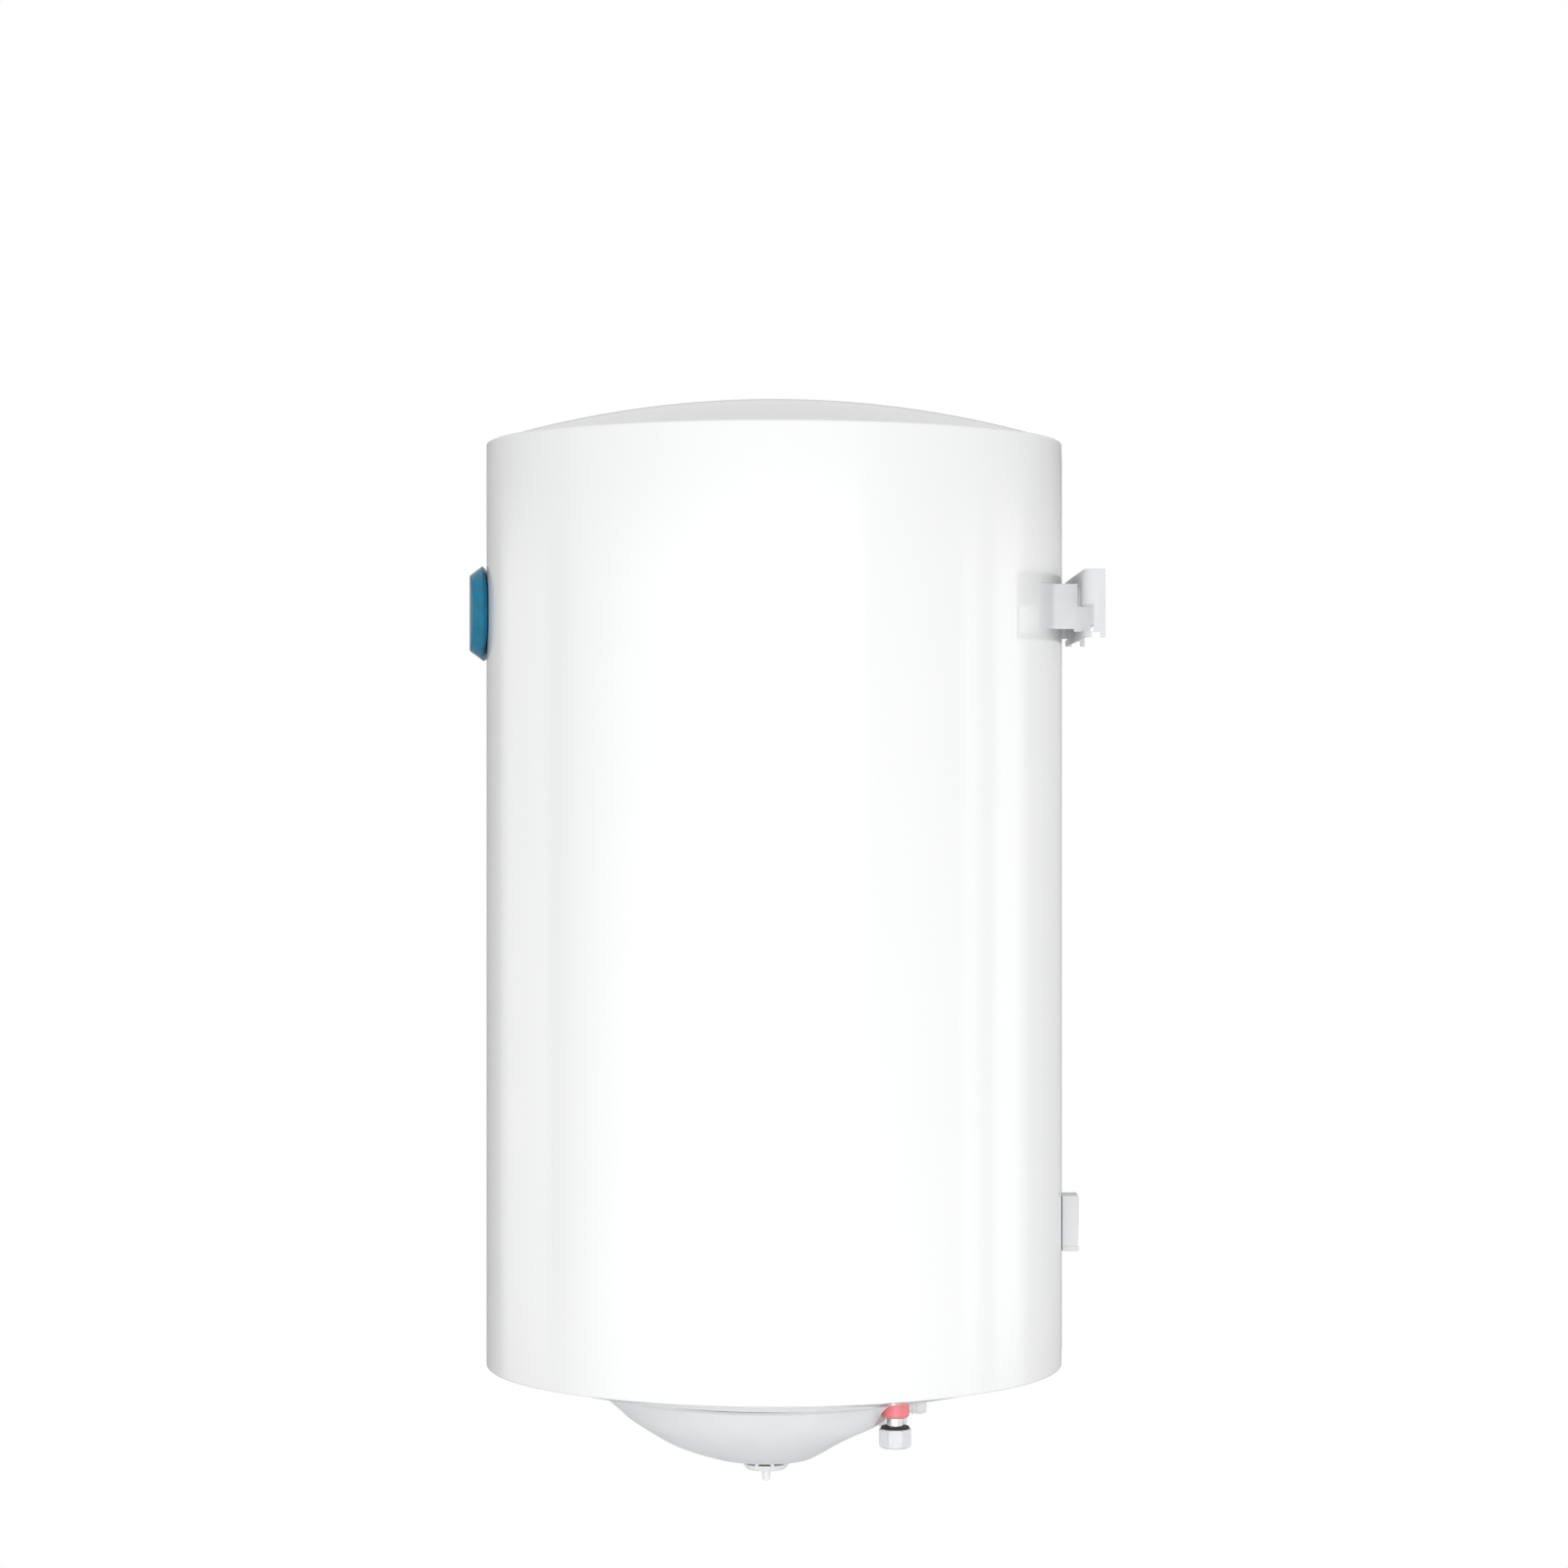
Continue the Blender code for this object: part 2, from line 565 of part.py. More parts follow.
def lens_frame():
    """Place and direction of the indicator on the cover's front slope."""
    centre = Vector((0, LENS_Y, RIM_BOTTOM - LENS_DEPTH))
    outward = Vector((0, -math.sin(LENS_SLOPE), -math.cos(LENS_SLOPE)))
    return centre, outward


def build_indicator():
    """Red lens in the cover and the small neon lamp behind it."""
    centre, outward = lens_frame()
    turn = (-LENS_SLOPE, 0, 0)
    lens = add_object("indicator_lens", rod_mesh("indicator_lens", 0.0045, 0.0085, SMALL_STEPS, LENS_RADIUS),
                      'red plastic', centre - outward * 0.00075)
    lens.rotation_euler = turn
    lamp = add_object("indicator_lamp", rod_mesh("indicator_lamp", 0.0025, 0.011, 16), 'glass',
                      centre - outward * 0.0110)
    lamp.rotation_euler = turn


# ---------------------------------------------------------------- bottom cover
def cover_point(angle, row):
    """One point of the cover's outer face; angle 0 is the front, pi the rear."""
    ahead = math.cos(angle)
    end = COVER_FRONT if ahead > 0 else COVER_REAR
    weight = ahead ** 2
    reach = end[row][0] * weight + COVER_SIDE[row][0] * (1 - weight)
    depth = end[row][1] * weight + COVER_SIDE[row][1] * (1 - weight)
    for side in (1, -1):
        pipe = Vector((side * PIPE_X, PIPE_Y - KNOB_Y))
        ray = Vector((math.sin(angle), -ahead))
        along = pipe.dot(ray)
        across = abs(pipe.x * ray.y - pipe.y * ray.x)
        if along > 0 and across < NOTCH_RADIUS:
            reach = min(reach, along - math.sqrt(NOTCH_RADIUS ** 2 - across ** 2))
    x = reach * math.sin(angle)
    y = KNOB_Y - reach * ahead
    if row == 0:
        depth = cap_depth(math.hypot(x, y - AXIS_Y)) - COVER_WALL
    return (x, y, RIM_BOTTOM - depth)


def build_cover():
    """Moulded cover over the electrics: a loft of rings with a recess round each pipe."""
    mesh = bpy.data.meshes.new("bottom_cover")
    bm = bmesh.new()
    rings = []
    for row in range(len(COVER_FRONT)):
        rings.append([bm.verts.new(cover_point(2 * math.pi * step / COVER_SIDES, row))
                      for step in range(COVER_SIDES)])
    for upper, lower in zip(rings, rings[1:]):
        for step in range(COVER_SIDES):
            following = (step + 1) % COVER_SIDES
            bm.faces.new((upper[step], lower[step], lower[following], upper[following]))
    bmesh.ops.recalc_face_normals(bm, faces=bm.faces)
    bm.to_mesh(mesh)
    bm.free()
    cover = add_object("bottom_cover", mesh, 'white plastic')
    wall = cover.modifiers.new("Wall", 'SOLIDIFY')
    wall.thickness = COVER_WALL
    wall.offset = -1.0
    above = dish('bottom', RIM_BOTTOM, BOTTOM_RISE, CAP_RADIUS, -2 * GAP, 0.0, 12)[::-1]
    above = [(0, RIM_BOTTOM + 0.02), (CAP_RADIUS, RIM_BOTTOM + 0.02)] + above
    trim = add_cutter("cover_rim_cutter", profile_mesh("cover_rim_cutter", above, False), (0, AXIS_Y, 0))
    turn(trim, SHELL_STEPS)
    cut(cover, trim)
    centre, outward = lens_frame()
    lens_hole = rod_mesh("lens_hole_cutter", LENS_RADIUS + 0.0005, 0.03)
    cut(cover, add_cutter("lens_hole_cutter", lens_hole, centre, (-LENS_SLOPE, 0, 0)))
    gland_hole = rod_mesh("gland_hole_cutter", GLAND_RADIUS + 0.0005, 0.024)
    cut(cover, add_cutter("gland_hole_cutter", gland_hole, (0, GLAND_START + 0.006, GLAND_Z),
                          (math.pi / 2, 0, 0)))


def build_gland():
    """Bush in the cover's rear wall, where a mains cord would enter."""
    length = GLAND_END - GLAND_START
    gland = turned("cable_gland", [(GLAND_RADIUS, 0), (GLAND_RADIUS, -length * 0.7),
                                   (GLAND_RADIUS - 0.0012, -length), (GLAND_BORE, -length),
                                   (GLAND_BORE, 0)], 'white plastic', (0, GLAND_START, GLAND_Z), True)
    gland.rotation_euler = (math.pi / 2, 0, 0)


# ---------------------------------------------------------------- water connections
def build_connection(name, side, sleeve_finish):
    """Pipe stub, coloured sleeve, rubber seal and the loose union nut of one side."""
    place = (side * PIPE_X, PIPE_Y, 0)
    bead = 0.0085
    turned(f"{name}_pipe", [(PIPE_RADIUS, PIPE_TOP), (PIPE_RADIUS, PIPE_END + 0.0030),
                            (bead, PIPE_END + 0.0022), (bead, PIPE_END), (PIPE_BORE, PIPE_END),
                            (PIPE_BORE, PIPE_TOP)], 'chrome', place, True)
    turned(f"{name}_sleeve", ring_profile(COLLAR_RADIUS, PIPE_RADIUS + GAP, COLLAR_TOP, COLLAR_BOTTOM),
           sleeve_finish, place, True)
    turned(f"{name}_seal", ring_profile(SEAL_RADIUS, PIPE_RADIUS + GAP, SEAL_TOP, NUT_TOP + GAP),
           'black rubber', place, True)
    nut_mesh = rod_mesh(f"{name}_nut", NUT_CORNER, NUT_TOP - NUT_BOTTOM, 8)
    nut_mesh.transform(Matrix.Rotation(math.pi / 8, 4, 'Z'))
    nut = add_object(f"{name}_nut", nut_mesh, 'grey plastic',
                     (side * PIPE_X, PIPE_Y, (NUT_TOP + NUT_BOTTOM) / 2))
    bore = rod_mesh(f"{name}_nut_bore", PIPE_RADIUS + 0.0005, 0.03)
    cut(nut, add_cutter(f"{name}_nut_bore", bore, (side * PIPE_X, PIPE_Y, NUT_TOP)))
    socket_depth = 0.0110
    socket = rod_mesh(f"{name}_nut_socket", NUT_SOCKET, 2 * socket_depth)
    cut(nut, add_cutter(f"{name}_nut_socket", socket, (side * PIPE_X, PIPE_Y, NUT_BOTTOM)))


def build_risers():
    """Hot draw tube up to the top of the tank, and the cold inlet's diffuser cup."""
    turned("hot_riser", ring_profile(PIPE_RADIUS, PIPE_BORE, 0.112, PIPE_TOP + GAP), 'steel',
           (PIPE_X, PIPE_Y, 0), True, 16)
    top = PIPE_TOP + 0.015
    low = PIPE_TOP - 0.004
    bore = PIPE_RADIUS + 0.0004
    cup = turned("cold_diffuser", [(0, top), (0.0095, top), (0.0095, low), (bore, low),
                                   (bore, top - 0.002), (0, top - 0.002)], 'grey plastic',
                 (-PIPE_X, PIPE_Y, 0), False)
    window = block_mesh("diffuser_window_cutter", (0.008, 0.030, 0.009))
    cut(cup, add_cutter("diffuser_window_cutter", window, (-PIPE_X, PIPE_Y, PIPE_TOP + 0.007)))


# ---------------------------------------------------------------- hanging parts
def build_bracket():
    """Folded hanger bracket: its pressed middle pad and both end flanges touch the wall."""
    half = BRACKET_STEEL / 2
    plate = BRACKET_PLATE_Y - half
    end = BRACKET_HALF - half
    path = [(-end, 0.0), (-end, plate), (end, plate), (end, 0.0)]
    bracket = folded_strip("hanger_bracket", path, BRACKET_TOP, BRACKET_BOTTOM, BRACKET_STEEL,
                           'white enamel', BRACKET_BEND)
    width, height = BRACKET_PAD
    pad = block_mesh("bracket_pad", (width, -plate, height))
    cut(bracket, add_cutter("bracket_pad", pad, (0, plate / 2, 0)), 'UNION')
    hollow_depth = 0.020
    hollow = block_mesh("pad_hollow_cutter", (width - 2 * BRACKET_STEEL, hollow_depth,
                                              height - 2 * BRACKET_STEEL))
    cut(bracket, add_cutter("pad_hollow_cutter", hollow, (0, -BRACKET_STEEL - hollow_depth / 2, 0)))
    notch_from, notch_to, notch_top = BRACKET_NOTCH
    window_from = ARM_X - ARM_STEEL / 2 - GAP
    window = (BRACKET_HALF + GAP - window_from, -2 * plate, TONGUE_TOP - TONGUE_BOTTOM + 4 * GAP)
    for name, side in (("left", -1), ("right", 1)):
        slot = block_mesh(f"hook_slot_{name}", (0.022, 0.012, 0.016))
        cut(bracket, add_cutter(f"hook_slot_{name}", slot, (side * HOOK_X, plate, HOOK_Z)))
        opening = block_mesh(f"tongue_slot_{name}", window)
        cut(bracket, add_cutter(f"tongue_slot_{name}", opening,
                                (side * (window_from + window[0] / 2), TONGUE_END + GAP - window[1] / 2,
                                 (TONGUE_TOP + TONGUE_BOTTOM) / 2)))
        step = block_mesh(f"flange_step_{name}", (4 * BRACKET_STEEL, notch_to - notch_from, -2 * BRACKET_BOTTOM))
        cut(bracket, add_cutter(f"flange_step_{name}", step, (side * BRACKET_HALF, (notch_from + notch_to) / 2,
                                                              notch_top + BRACKET_BOTTOM)))


def build_arms():
    """Two steel arms: a foot along the jacket, and a tongue through the bracket's slot."""
    sag = 0.0004
    ends = [ARM_X + ARM_FOOT, ARM_X]
    rows = [AXIS_Y + math.sqrt(CASE_RADIUS ** 2 - end ** 2) + ARM_STEEL / 2 + GAP + sag for end in ends]
    overlap = 0.003
    for name, side in (("hanger_arm_left", -1), ("hanger_arm_right", 1)):
        path = [(side * ends[0], rows[0]), (side * ARM_X, rows[1]), (side * ARM_X, ARM_END)]
        arm = folded_strip(name, path, ARM_TOP, ARM_BOTTOM, ARM_STEEL, 'white enamel', 0.004)
        length = TONGUE_END - ARM_END + overlap
        tongue = block_mesh(f"{name}_tongue", (ARM_STEEL, length, TONGUE_TOP - TONGUE_BOTTOM))
        cut(arm, add_cutter(f"{name}_tongue", tongue, (side * ARM_X, TONGUE_END - length / 2,
                                                       (TONGUE_TOP + TONGUE_BOTTOM) / 2)), 'UNION')


def build_spacer():
    """Small block that keeps the jacket's lower end off the wall."""
    back_y = AXIS_Y + CASE_RADIUS + GAP
    size = (2 * SPACER_HALF, SPACER_FACE_Y - back_y, SPACER_TOP - SPACER_BOTTOM)
    spacer = add_object("lower_spacer", block_mesh("lower_spacer", size), 'white enamel',
                        (0, (SPACER_FACE_Y + back_y) / 2, (SPACER_TOP + SPACER_BOTTOM) / 2))
    bevel(spacer, 0.001)


def build_badge():
    """Blank badge on the front: a base shaped to the jacket and a bevelled face plate."""
    back = AXIS_Y - 0.205
    base = add_object("badge_base", block_mesh("badge_base", (BADGE_WIDTH, back - BADGE_SPLIT_Y, BADGE_HEIGHT)),
                      'teal plastic', (0, (back + BADGE_SPLIT_Y) / 2, BADGE_Z))
    round_upright_corners(base, BADGE_CORNER)
    body = rod_mesh("badge_cutter", CASE_RADIUS + 0.0006, 0.2, 96)
    cut(base, add_cutter("badge_cutter", body, (0, AXIS_Y, BADGE_Z)))
    depth = BADGE_SPLIT_Y - GAP - BADGE_FACE_Y
    size = (BADGE_WIDTH - 0.002, depth, BADGE_HEIGHT - 0.002)
    plate = add_object("badge_plate", block_mesh("badge_plate", size, 0.845), 'teal plastic',
                       (0, BADGE_FACE_Y + depth / 2, BADGE_Z))
    round_upright_corners(plate, BADGE_CORNER)


def round_upright_corners(obj, radius):
    """Round the four edges that run along Y."""
    bm = bmesh.new()
    bm.from_mesh(obj.data)
    corners = [edge for edge in bm.edges
               if abs(edge.verts[0].co.y - edge.verts[1].co.y) > 0.001]
    bmesh.ops.bevel(bm, geom=corners, offset=radius, segments=4, affect='EDGES', profile=0.5)
    bm.to_mesh(obj.data)
    bm.free()


# ---------------------------------------------------------------- colours: base, roughness, metallic
FINISHES = {
    'white enamel': ((0.86, 0.87, 0.87), 0.25, 0.0),
    'white plastic': ((0.80, 0.81, 0.81), 0.35, 0.0),
    'grey plastic': ((0.62, 0.63, 0.64), 0.40, 0.0),
    'teal plastic': ((0.016, 0.23, 0.35), 0.20, 0.0),
    'red plastic': ((0.43, 0.01, 0.06), 0.20, 0.0),
    'red sleeve': ((0.78, 0.20, 0.22), 0.35, 0.0),
    'blue sleeve': ((0.10, 0.28, 0.70), 0.35, 0.0),
    'brown plastic': ((0.10, 0.04, 0.02), 0.45, 0.0),
    'green plastic': ((0.25, 0.45, 0.05), 0.45, 0.0),
    'blue plastic': ((0.03, 0.10, 0.40), 0.45, 0.0),
    'black rubber': ((0.02, 0.02, 0.02), 0.70, 0.0),
    'bakelite': ((0.03, 0.03, 0.035), 0.45, 0.0),
    'foam': ((0.72, 0.60, 0.36), 0.95, 0.0),
    'tank enamel': ((0.05, 0.09, 0.16), 0.30, 0.0),
    'steel': ((0.55, 0.55, 0.55), 0.35, 1.0),
    'element alloy': ((0.30, 0.30, 0.29), 0.40, 1.0),
    'magnesium': ((0.55, 0.55, 0.56), 0.55, 1.0),
    'copper': ((0.72, 0.36, 0.22), 0.30, 1.0),
    'brass': ((0.70, 0.52, 0.22), 0.30, 1.0),
    'chrome': ((0.80, 0.80, 0.82), 0.08, 1.0),
    'glass': ((0.90, 0.55, 0.40), 0.05, 0.0),
}

clear_scene()
PARTS = new_collection("tank_water_heater")
CUTTERS = new_collection("cutters")

build_jacket()
build_top_cap()
build_bottom_cap()
build_foam()
build_tank()
build_flange()
build_flange_bolts()
build_element()
build_anode()
build_thermostat()
build_knob()
build_wiring()
build_indicator()
build_cover()
build_gland()
build_connection("hot", 1, 'red sleeve')
build_connection("cold", -1, 'blue sleeve')
build_risers()
build_bracket()
build_arms()
build_spacer()
build_badge()
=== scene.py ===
import math

import bmesh
import bpy
from mathutils import Matrix, Vector


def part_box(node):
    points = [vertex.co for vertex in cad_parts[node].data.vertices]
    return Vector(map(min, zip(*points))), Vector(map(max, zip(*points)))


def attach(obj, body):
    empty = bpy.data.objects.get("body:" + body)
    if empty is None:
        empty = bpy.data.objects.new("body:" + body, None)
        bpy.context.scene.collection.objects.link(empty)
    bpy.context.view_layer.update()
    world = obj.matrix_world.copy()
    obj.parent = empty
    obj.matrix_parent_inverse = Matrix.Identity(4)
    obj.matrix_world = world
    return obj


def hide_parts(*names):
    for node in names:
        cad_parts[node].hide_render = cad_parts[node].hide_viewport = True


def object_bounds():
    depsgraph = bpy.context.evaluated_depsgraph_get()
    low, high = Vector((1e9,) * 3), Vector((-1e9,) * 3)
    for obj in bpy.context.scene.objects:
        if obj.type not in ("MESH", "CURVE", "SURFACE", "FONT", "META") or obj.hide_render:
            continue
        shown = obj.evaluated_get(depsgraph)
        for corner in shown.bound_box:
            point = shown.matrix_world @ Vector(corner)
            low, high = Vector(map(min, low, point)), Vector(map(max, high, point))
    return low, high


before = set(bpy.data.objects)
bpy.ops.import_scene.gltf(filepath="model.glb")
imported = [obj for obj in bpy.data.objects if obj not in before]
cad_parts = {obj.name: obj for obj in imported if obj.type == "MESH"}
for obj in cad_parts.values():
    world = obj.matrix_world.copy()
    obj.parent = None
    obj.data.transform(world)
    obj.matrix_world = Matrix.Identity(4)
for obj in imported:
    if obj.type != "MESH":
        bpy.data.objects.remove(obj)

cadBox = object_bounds()
mm = 0.001
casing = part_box("jacket")
bottomRim = casing[0].z
topRim = casing[1].z
axisY = (casing[0].y + casing[1].y) / 2
caseRadius = casing[1].x


# ---- small helpers
def middleOf(node):
    low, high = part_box(node)
    return (low + high) / 2


def toLinear(hexColour):
    # sRGB hex to the linear colour that a shader takes
    parts = [int(hexColour[start:start + 2], 16) / 255 for start in (1, 3, 5)]
    return (*[part / 12.92 if part <= 0.04045 else ((part + 0.055) / 1.055) ** 2.4 for part in parts], 1.0)


def addNode(tree, kind, settings=None, inputs=None):
    node = tree.nodes.new(kind)
    for name, value in (settings or {}).items():
        setattr(node, name, value)
    for socket, value in (inputs or {}).items():
        if isinstance(value, bpy.types.NodeSocket):
            tree.links.new(value, node.inputs[socket])
        else:
            node.inputs[socket].default_value = value
    return node


def maths(tree, operation, *values, **settings):
    settings["operation"] = operation
    return addNode(tree, "ShaderNodeMath", settings, dict(enumerate(values))).outputs[0]


def ramp(tree, value, fromMin, fromMax, toMin=0.0, toMax=1.0, curve="LINEAR"):
    node = addNode(tree, "ShaderNodeMapRange", {"interpolation_type": curve}, {
        "Value": value, "From Min": fromMin, "From Max": fromMax, "To Min": toMin, "To Max": toMax})
    return node.outputs["Result"]


def linkObject(name, mesh):
    piece = bpy.data.objects.new(name, mesh)
    bpy.context.scene.collection.objects.link(piece)
    return piece


def toMesh(bm, name, sharpAngle=35):
    mesh = bpy.data.meshes.new(name)
    bmesh.ops.recalc_face_normals(bm, faces=bm.faces)
    bm.to_mesh(mesh)
    bm.free()
    mesh.shade_smooth()
    mesh.set_sharp_from_angle(angle=math.radians(sharpAngle))
    return mesh


def settle(piece, sharpAngle=35):
    # bakes the modifiers in and takes them off
    graph = bpy.context.evaluated_depsgraph_get()
    mesh = bpy.data.meshes.new_from_object(piece.evaluated_get(graph))
    piece.modifiers.clear()
    piece.data = mesh
    mesh.shade_smooth()
    mesh.set_sharp_from_angle(angle=math.radians(sharpAngle))


def carve(piece, tool, operation="DIFFERENCE"):
    cut = piece.modifiers.new("cut", "BOOLEAN")
    cut.operation = operation
    cut.object = tool
    bpy.context.view_layer.update()
    settle(piece)
    bpy.data.objects.remove(tool)


def addBevel(piece, width, segments=3, angle=30):
    bevel = piece.modifiers.new("bevel", "BEVEL")
    bevel.width = width
    bevel.segments = segments
    bevel.limit_method = "ANGLE"
    bevel.angle_limit = math.radians(angle)
    bevel.use_clamp_overlap = True
    bevel.harden_normals = False


def mount(piece, body, slotName, material, *replaced):
    # paints a finished piece and ties it to its CAD body
    piece.data.materials.clear()
    piece.data.materials.append(material)
    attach(piece, body)
    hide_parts(*replaced)
    return piece


def roundedPath(corners, closed=False, steps=6):
    # corners are (across, up, rounding); every rounding becomes an arc with a holding point on both sides
    points = []
    count = len(corners)
    for index, (across, up, rounding) in enumerate(corners):
        here = Vector((across, up))
        if rounding == 0 or (not closed and index in (0, count - 1)):
            points.append(here)
            continue
        back = Vector(corners[index - 1][:2]) - here
        ahead = Vector(corners[(index + 1) % count][:2]) - here
        half = back.angle(ahead) / 2
        reach = min(rounding / math.tan(half), 0.45 * back.length, 0.45 * ahead.length)
        radius = reach * math.tan(half)
        toBack, toAhead = back.normalized(), ahead.normalized()
        centre = here + (toBack + toAhead).normalized() * radius / math.sin(half)
        start = here + toBack * reach - centre
        end = here + toAhead * reach - centre
        sweep = start.angle(end)
        hold = min(0.5 * radius, 0.04 * back.length, 0.04 * ahead.length)
        points.append(here + toBack * (reach + hold))
        for step in range(steps + 1):
            part = step / steps
            points.append(centre + (start * math.sin((1 - part) * sweep) + end * math.sin(part * sweep))
                          / math.sin(sweep))
        points.append(here + toAhead * (reach + hold))
    return points


def skinRows(bm, rows, closed=False, around=True):
    # faces between neighbouring rows of vertices; a row of one vertex is a pole
    pairs = list(zip(rows, rows[1:]))
    if closed:
        pairs.append((rows[-1], rows[0]))
    for upper, lower in pairs:
        count = max(len(upper), len(lower))
        for step in range(count if around else count - 1):
            after = (step + 1) % count
            corners = []
            for row, spot in ((upper, step), (lower, step), (lower, after), (upper, after)):
                vert = row[spot] if len(row) > 1 else row[0]
                if vert not in corners:
                    corners.append(vert)
            bm.faces.new(corners)


def turnedMesh(name, path, centre, segments=96, closed=False, shape=None, sharpAngle=35):
    # turns (radius, height) points about an upright line; shape(angle, radius, height) may bend the radius
    bm = bmesh.new()
    rows = []
    for radius, height in path:
        if radius < 1e-7:
            rows.append([bm.verts.new((centre[0], centre[1], height))])
            continue
        row = []
        for step in range(segments):
            angle = 2 * math.pi * step / segments
            reach = shape(angle, radius, height) if shape else radius
            row.append(bm.verts.new((centre[0] + reach * math.cos(angle),
                                     centre[1] + reach * math.sin(angle), height)))
        rows.append(row)
    skinRows(bm, rows, closed)
    return toMesh(bm, name, sharpAngle)


def turnedPiece(name, corners, centre, segments=96, closed=True, shape=None, steps=6, sharpAngle=35):
    return linkObject(name, turnedMesh(name, roundedPath(corners, closed, steps), centre, segments, closed,
                                       shape, sharpAngle))


def dome(edgeRadius, rise, edgeHeight, count, inner=0.0):
    # (radius, height) points over a spherical dish; a negative rise hangs down
    ball = (edgeRadius ** 2 + rise ** 2) / (2 * abs(rise))
    side = math.copysign(1, rise)
    points = []
    for step in range(count + 1):
        radius = inner + (edgeRadius - inner) * step / count
        points.append((radius, edgeHeight + side * (math.sqrt(ball ** 2 - radius ** 2) - ball + abs(rise))))
    return points


def catmull(values, place):
    # smooth value through a list, at a fractional index
    index = min(int(place), len(values) - 2)
    part = place - index
    start, end = values[index], values[index + 1]
    before = values[index - 1] if index > 0 else 2 * start - end
    after = values[index + 2] if index + 2 < len(values) else 2 * end - start
    return 0.5 * (2 * start + (end - before) * part + (2 * before - 5 * start + 4 * end - after) * part ** 2
                  + (3 * start - before - 3 * end + after) * part ** 3)


# ---- camera, backdrop and light
camera = {"lens": 90, "sensor": 36, "place": (2.960, -0.2345, -0.1335)}


def addCamera():
    data = bpy.data.cameras.new("camera")
    data.lens = camera["lens"]
    data.sensor_width = camera["sensor"]
    data.clip_start = 0.05
    seen = linkObject("camera", data)
    seen.location = camera["place"]
    seen.rotation_euler = (math.pi / 2, 0, math.pi / 2)     # level, looking along -X
    bpy.context.scene.camera = seen


floor = {"drop": 1.0, "radius": 2.6, "colour": "#E2E3E4"}


def addFloor():
    # a pale round floor under the heater, wide enough to catch its soft bounce
    height = cadBox[0].z - floor["drop"]
    path = roundedPath([(0, height, 0), (floor["radius"], height, 0.01), (floor["radius"], height - 0.03, 0)])
    stage = linkObject("studio_floor", turnedMesh("studio_floor", path, (0, axisY), 128))
    material = bpy.data.materials.new("matt pale floor paint")
    material.use_nodes = True
    shader = material.node_tree.nodes["Principled BSDF"]
    shader.inputs["Base Color"].default_value = toLinear(floor["colour"])
    shader.inputs["Roughness"].default_value = 0.9
    stage.data.materials.append(material)


studio = {
    "front": 0.92,          # brightness of the room straight across
    "tilt": 0.38,           # how much brighter it is towards +X than towards -X
    "ceiling": 0.85,        # share of it that is left overhead
    "ground": 0.75,         # and underfoot
    "backdrop": 0.45,       # extra brightness high up on the -X side
    "lowBox": {"place": (1.7, -0.15, -1.25), "aim": (0.05, -0.25, -0.62), "size": (1.1, 0.7), "watts": 7.0},
    # soft boxes round the heater: from and to in degrees from +X towards the wall, strength at both ends,
    # and the softness of the first and second edge in degrees
    "boxes": [(-86, 34, 0.45, 2.4, 16, 8), (42, 99, 0.35, 0.6, 24, 10), (79, 88, 0.7, 0.7, 6, 6),
              (98, 116, 1.6, 1.6, 8, 12), (116, 170, 0.5, 0.3, 10, 20), (-136, -100, 0.8, 0.7, 16, 6)],
    "boxTop": (0.045, 0.085), "boxFoot": (-0.19, -0.12),     # where they fade out, as sines of the elevation
}


def addStudio():
    # a soft studio all round, and plain white behind the heater
    world = bpy.data.worlds.new("soft studio")
    bpy.context.scene.world = world
    world.use_nodes = True
    tree = world.node_tree
    tree.nodes.clear()
    coordinates = addNode(tree, "ShaderNodeTexCoord")
    parts = addNode(tree, "ShaderNodeSeparateXYZ", {}, {"Vector": coordinates.outputs["Generated"]})
    side, depth, height = parts.outputs["X"], parts.outputs["Y"], parts.outputs["Z"]
    soft = "SMOOTHSTEP"
    azimuth = maths(tree, "ARCTAN2", depth, side)
    room = maths(tree, "MULTIPLY_ADD", side, studio["tilt"], studio["front"])
    room = maths(tree, "MULTIPLY", room, ramp(tree, height, 0.02, 0.8, 1.0, studio["ceiling"], soft))
    room = maths(tree, "MULTIPLY", room, ramp(tree, height, -0.10, -0.8, 1.0, studio["ground"], soft))
    tall = maths(tree, "MULTIPLY", ramp(tree, height, *studio["boxTop"], 1.0, 0.0, soft),
                 ramp(tree, height, *studio["boxFoot"], 0.0, 1.0, soft))
    for start, end, startStrength, endStrength, startEdge, endEdge in studio["boxes"]:
        box = ramp(tree, azimuth, math.radians(start), math.radians(end), startStrength, endStrength)
        for middle, width, before, after in ((start, startEdge, 0.0, 1.0), (end, endEdge, 1.0, 0.0)):
            edges = [math.radians(middle + part * width / 2) for part in (-1, 1)]
            gate = ramp(tree, azimuth, *edges, before, after, soft)
            box = maths(tree, "MULTIPLY", box, gate)
        room = maths(tree, "MULTIPLY_ADD", box, tall, room)
    away = maths(tree, "MULTIPLY", side, -1.0, use_clamp=True)
    lifted = ramp(tree, height, 0.09, 0.24, 0.0, studio["backdrop"], soft)
    room = maths(tree, "MULTIPLY_ADD", away, lifted, room)
    lit = addNode(tree, "ShaderNodeBackground", {}, {"Strength": room})
    plain = addNode(tree, "ShaderNodeBackground", {}, {"Color": (1, 1, 1, 1)})
    rays = addNode(tree, "ShaderNodeLightPath")
    both = addNode(tree, "ShaderNodeMixShader", {}, {0: rays.outputs["Is Camera Ray"],
                                                     1: lit.outputs[0], 2: plain.outputs[0]})
    addNode(tree, "ShaderNodeOutputWorld", {}, {"Surface": both.outputs[0]})
    bpy.context.scene.view_settings.view_transform = "Standard"


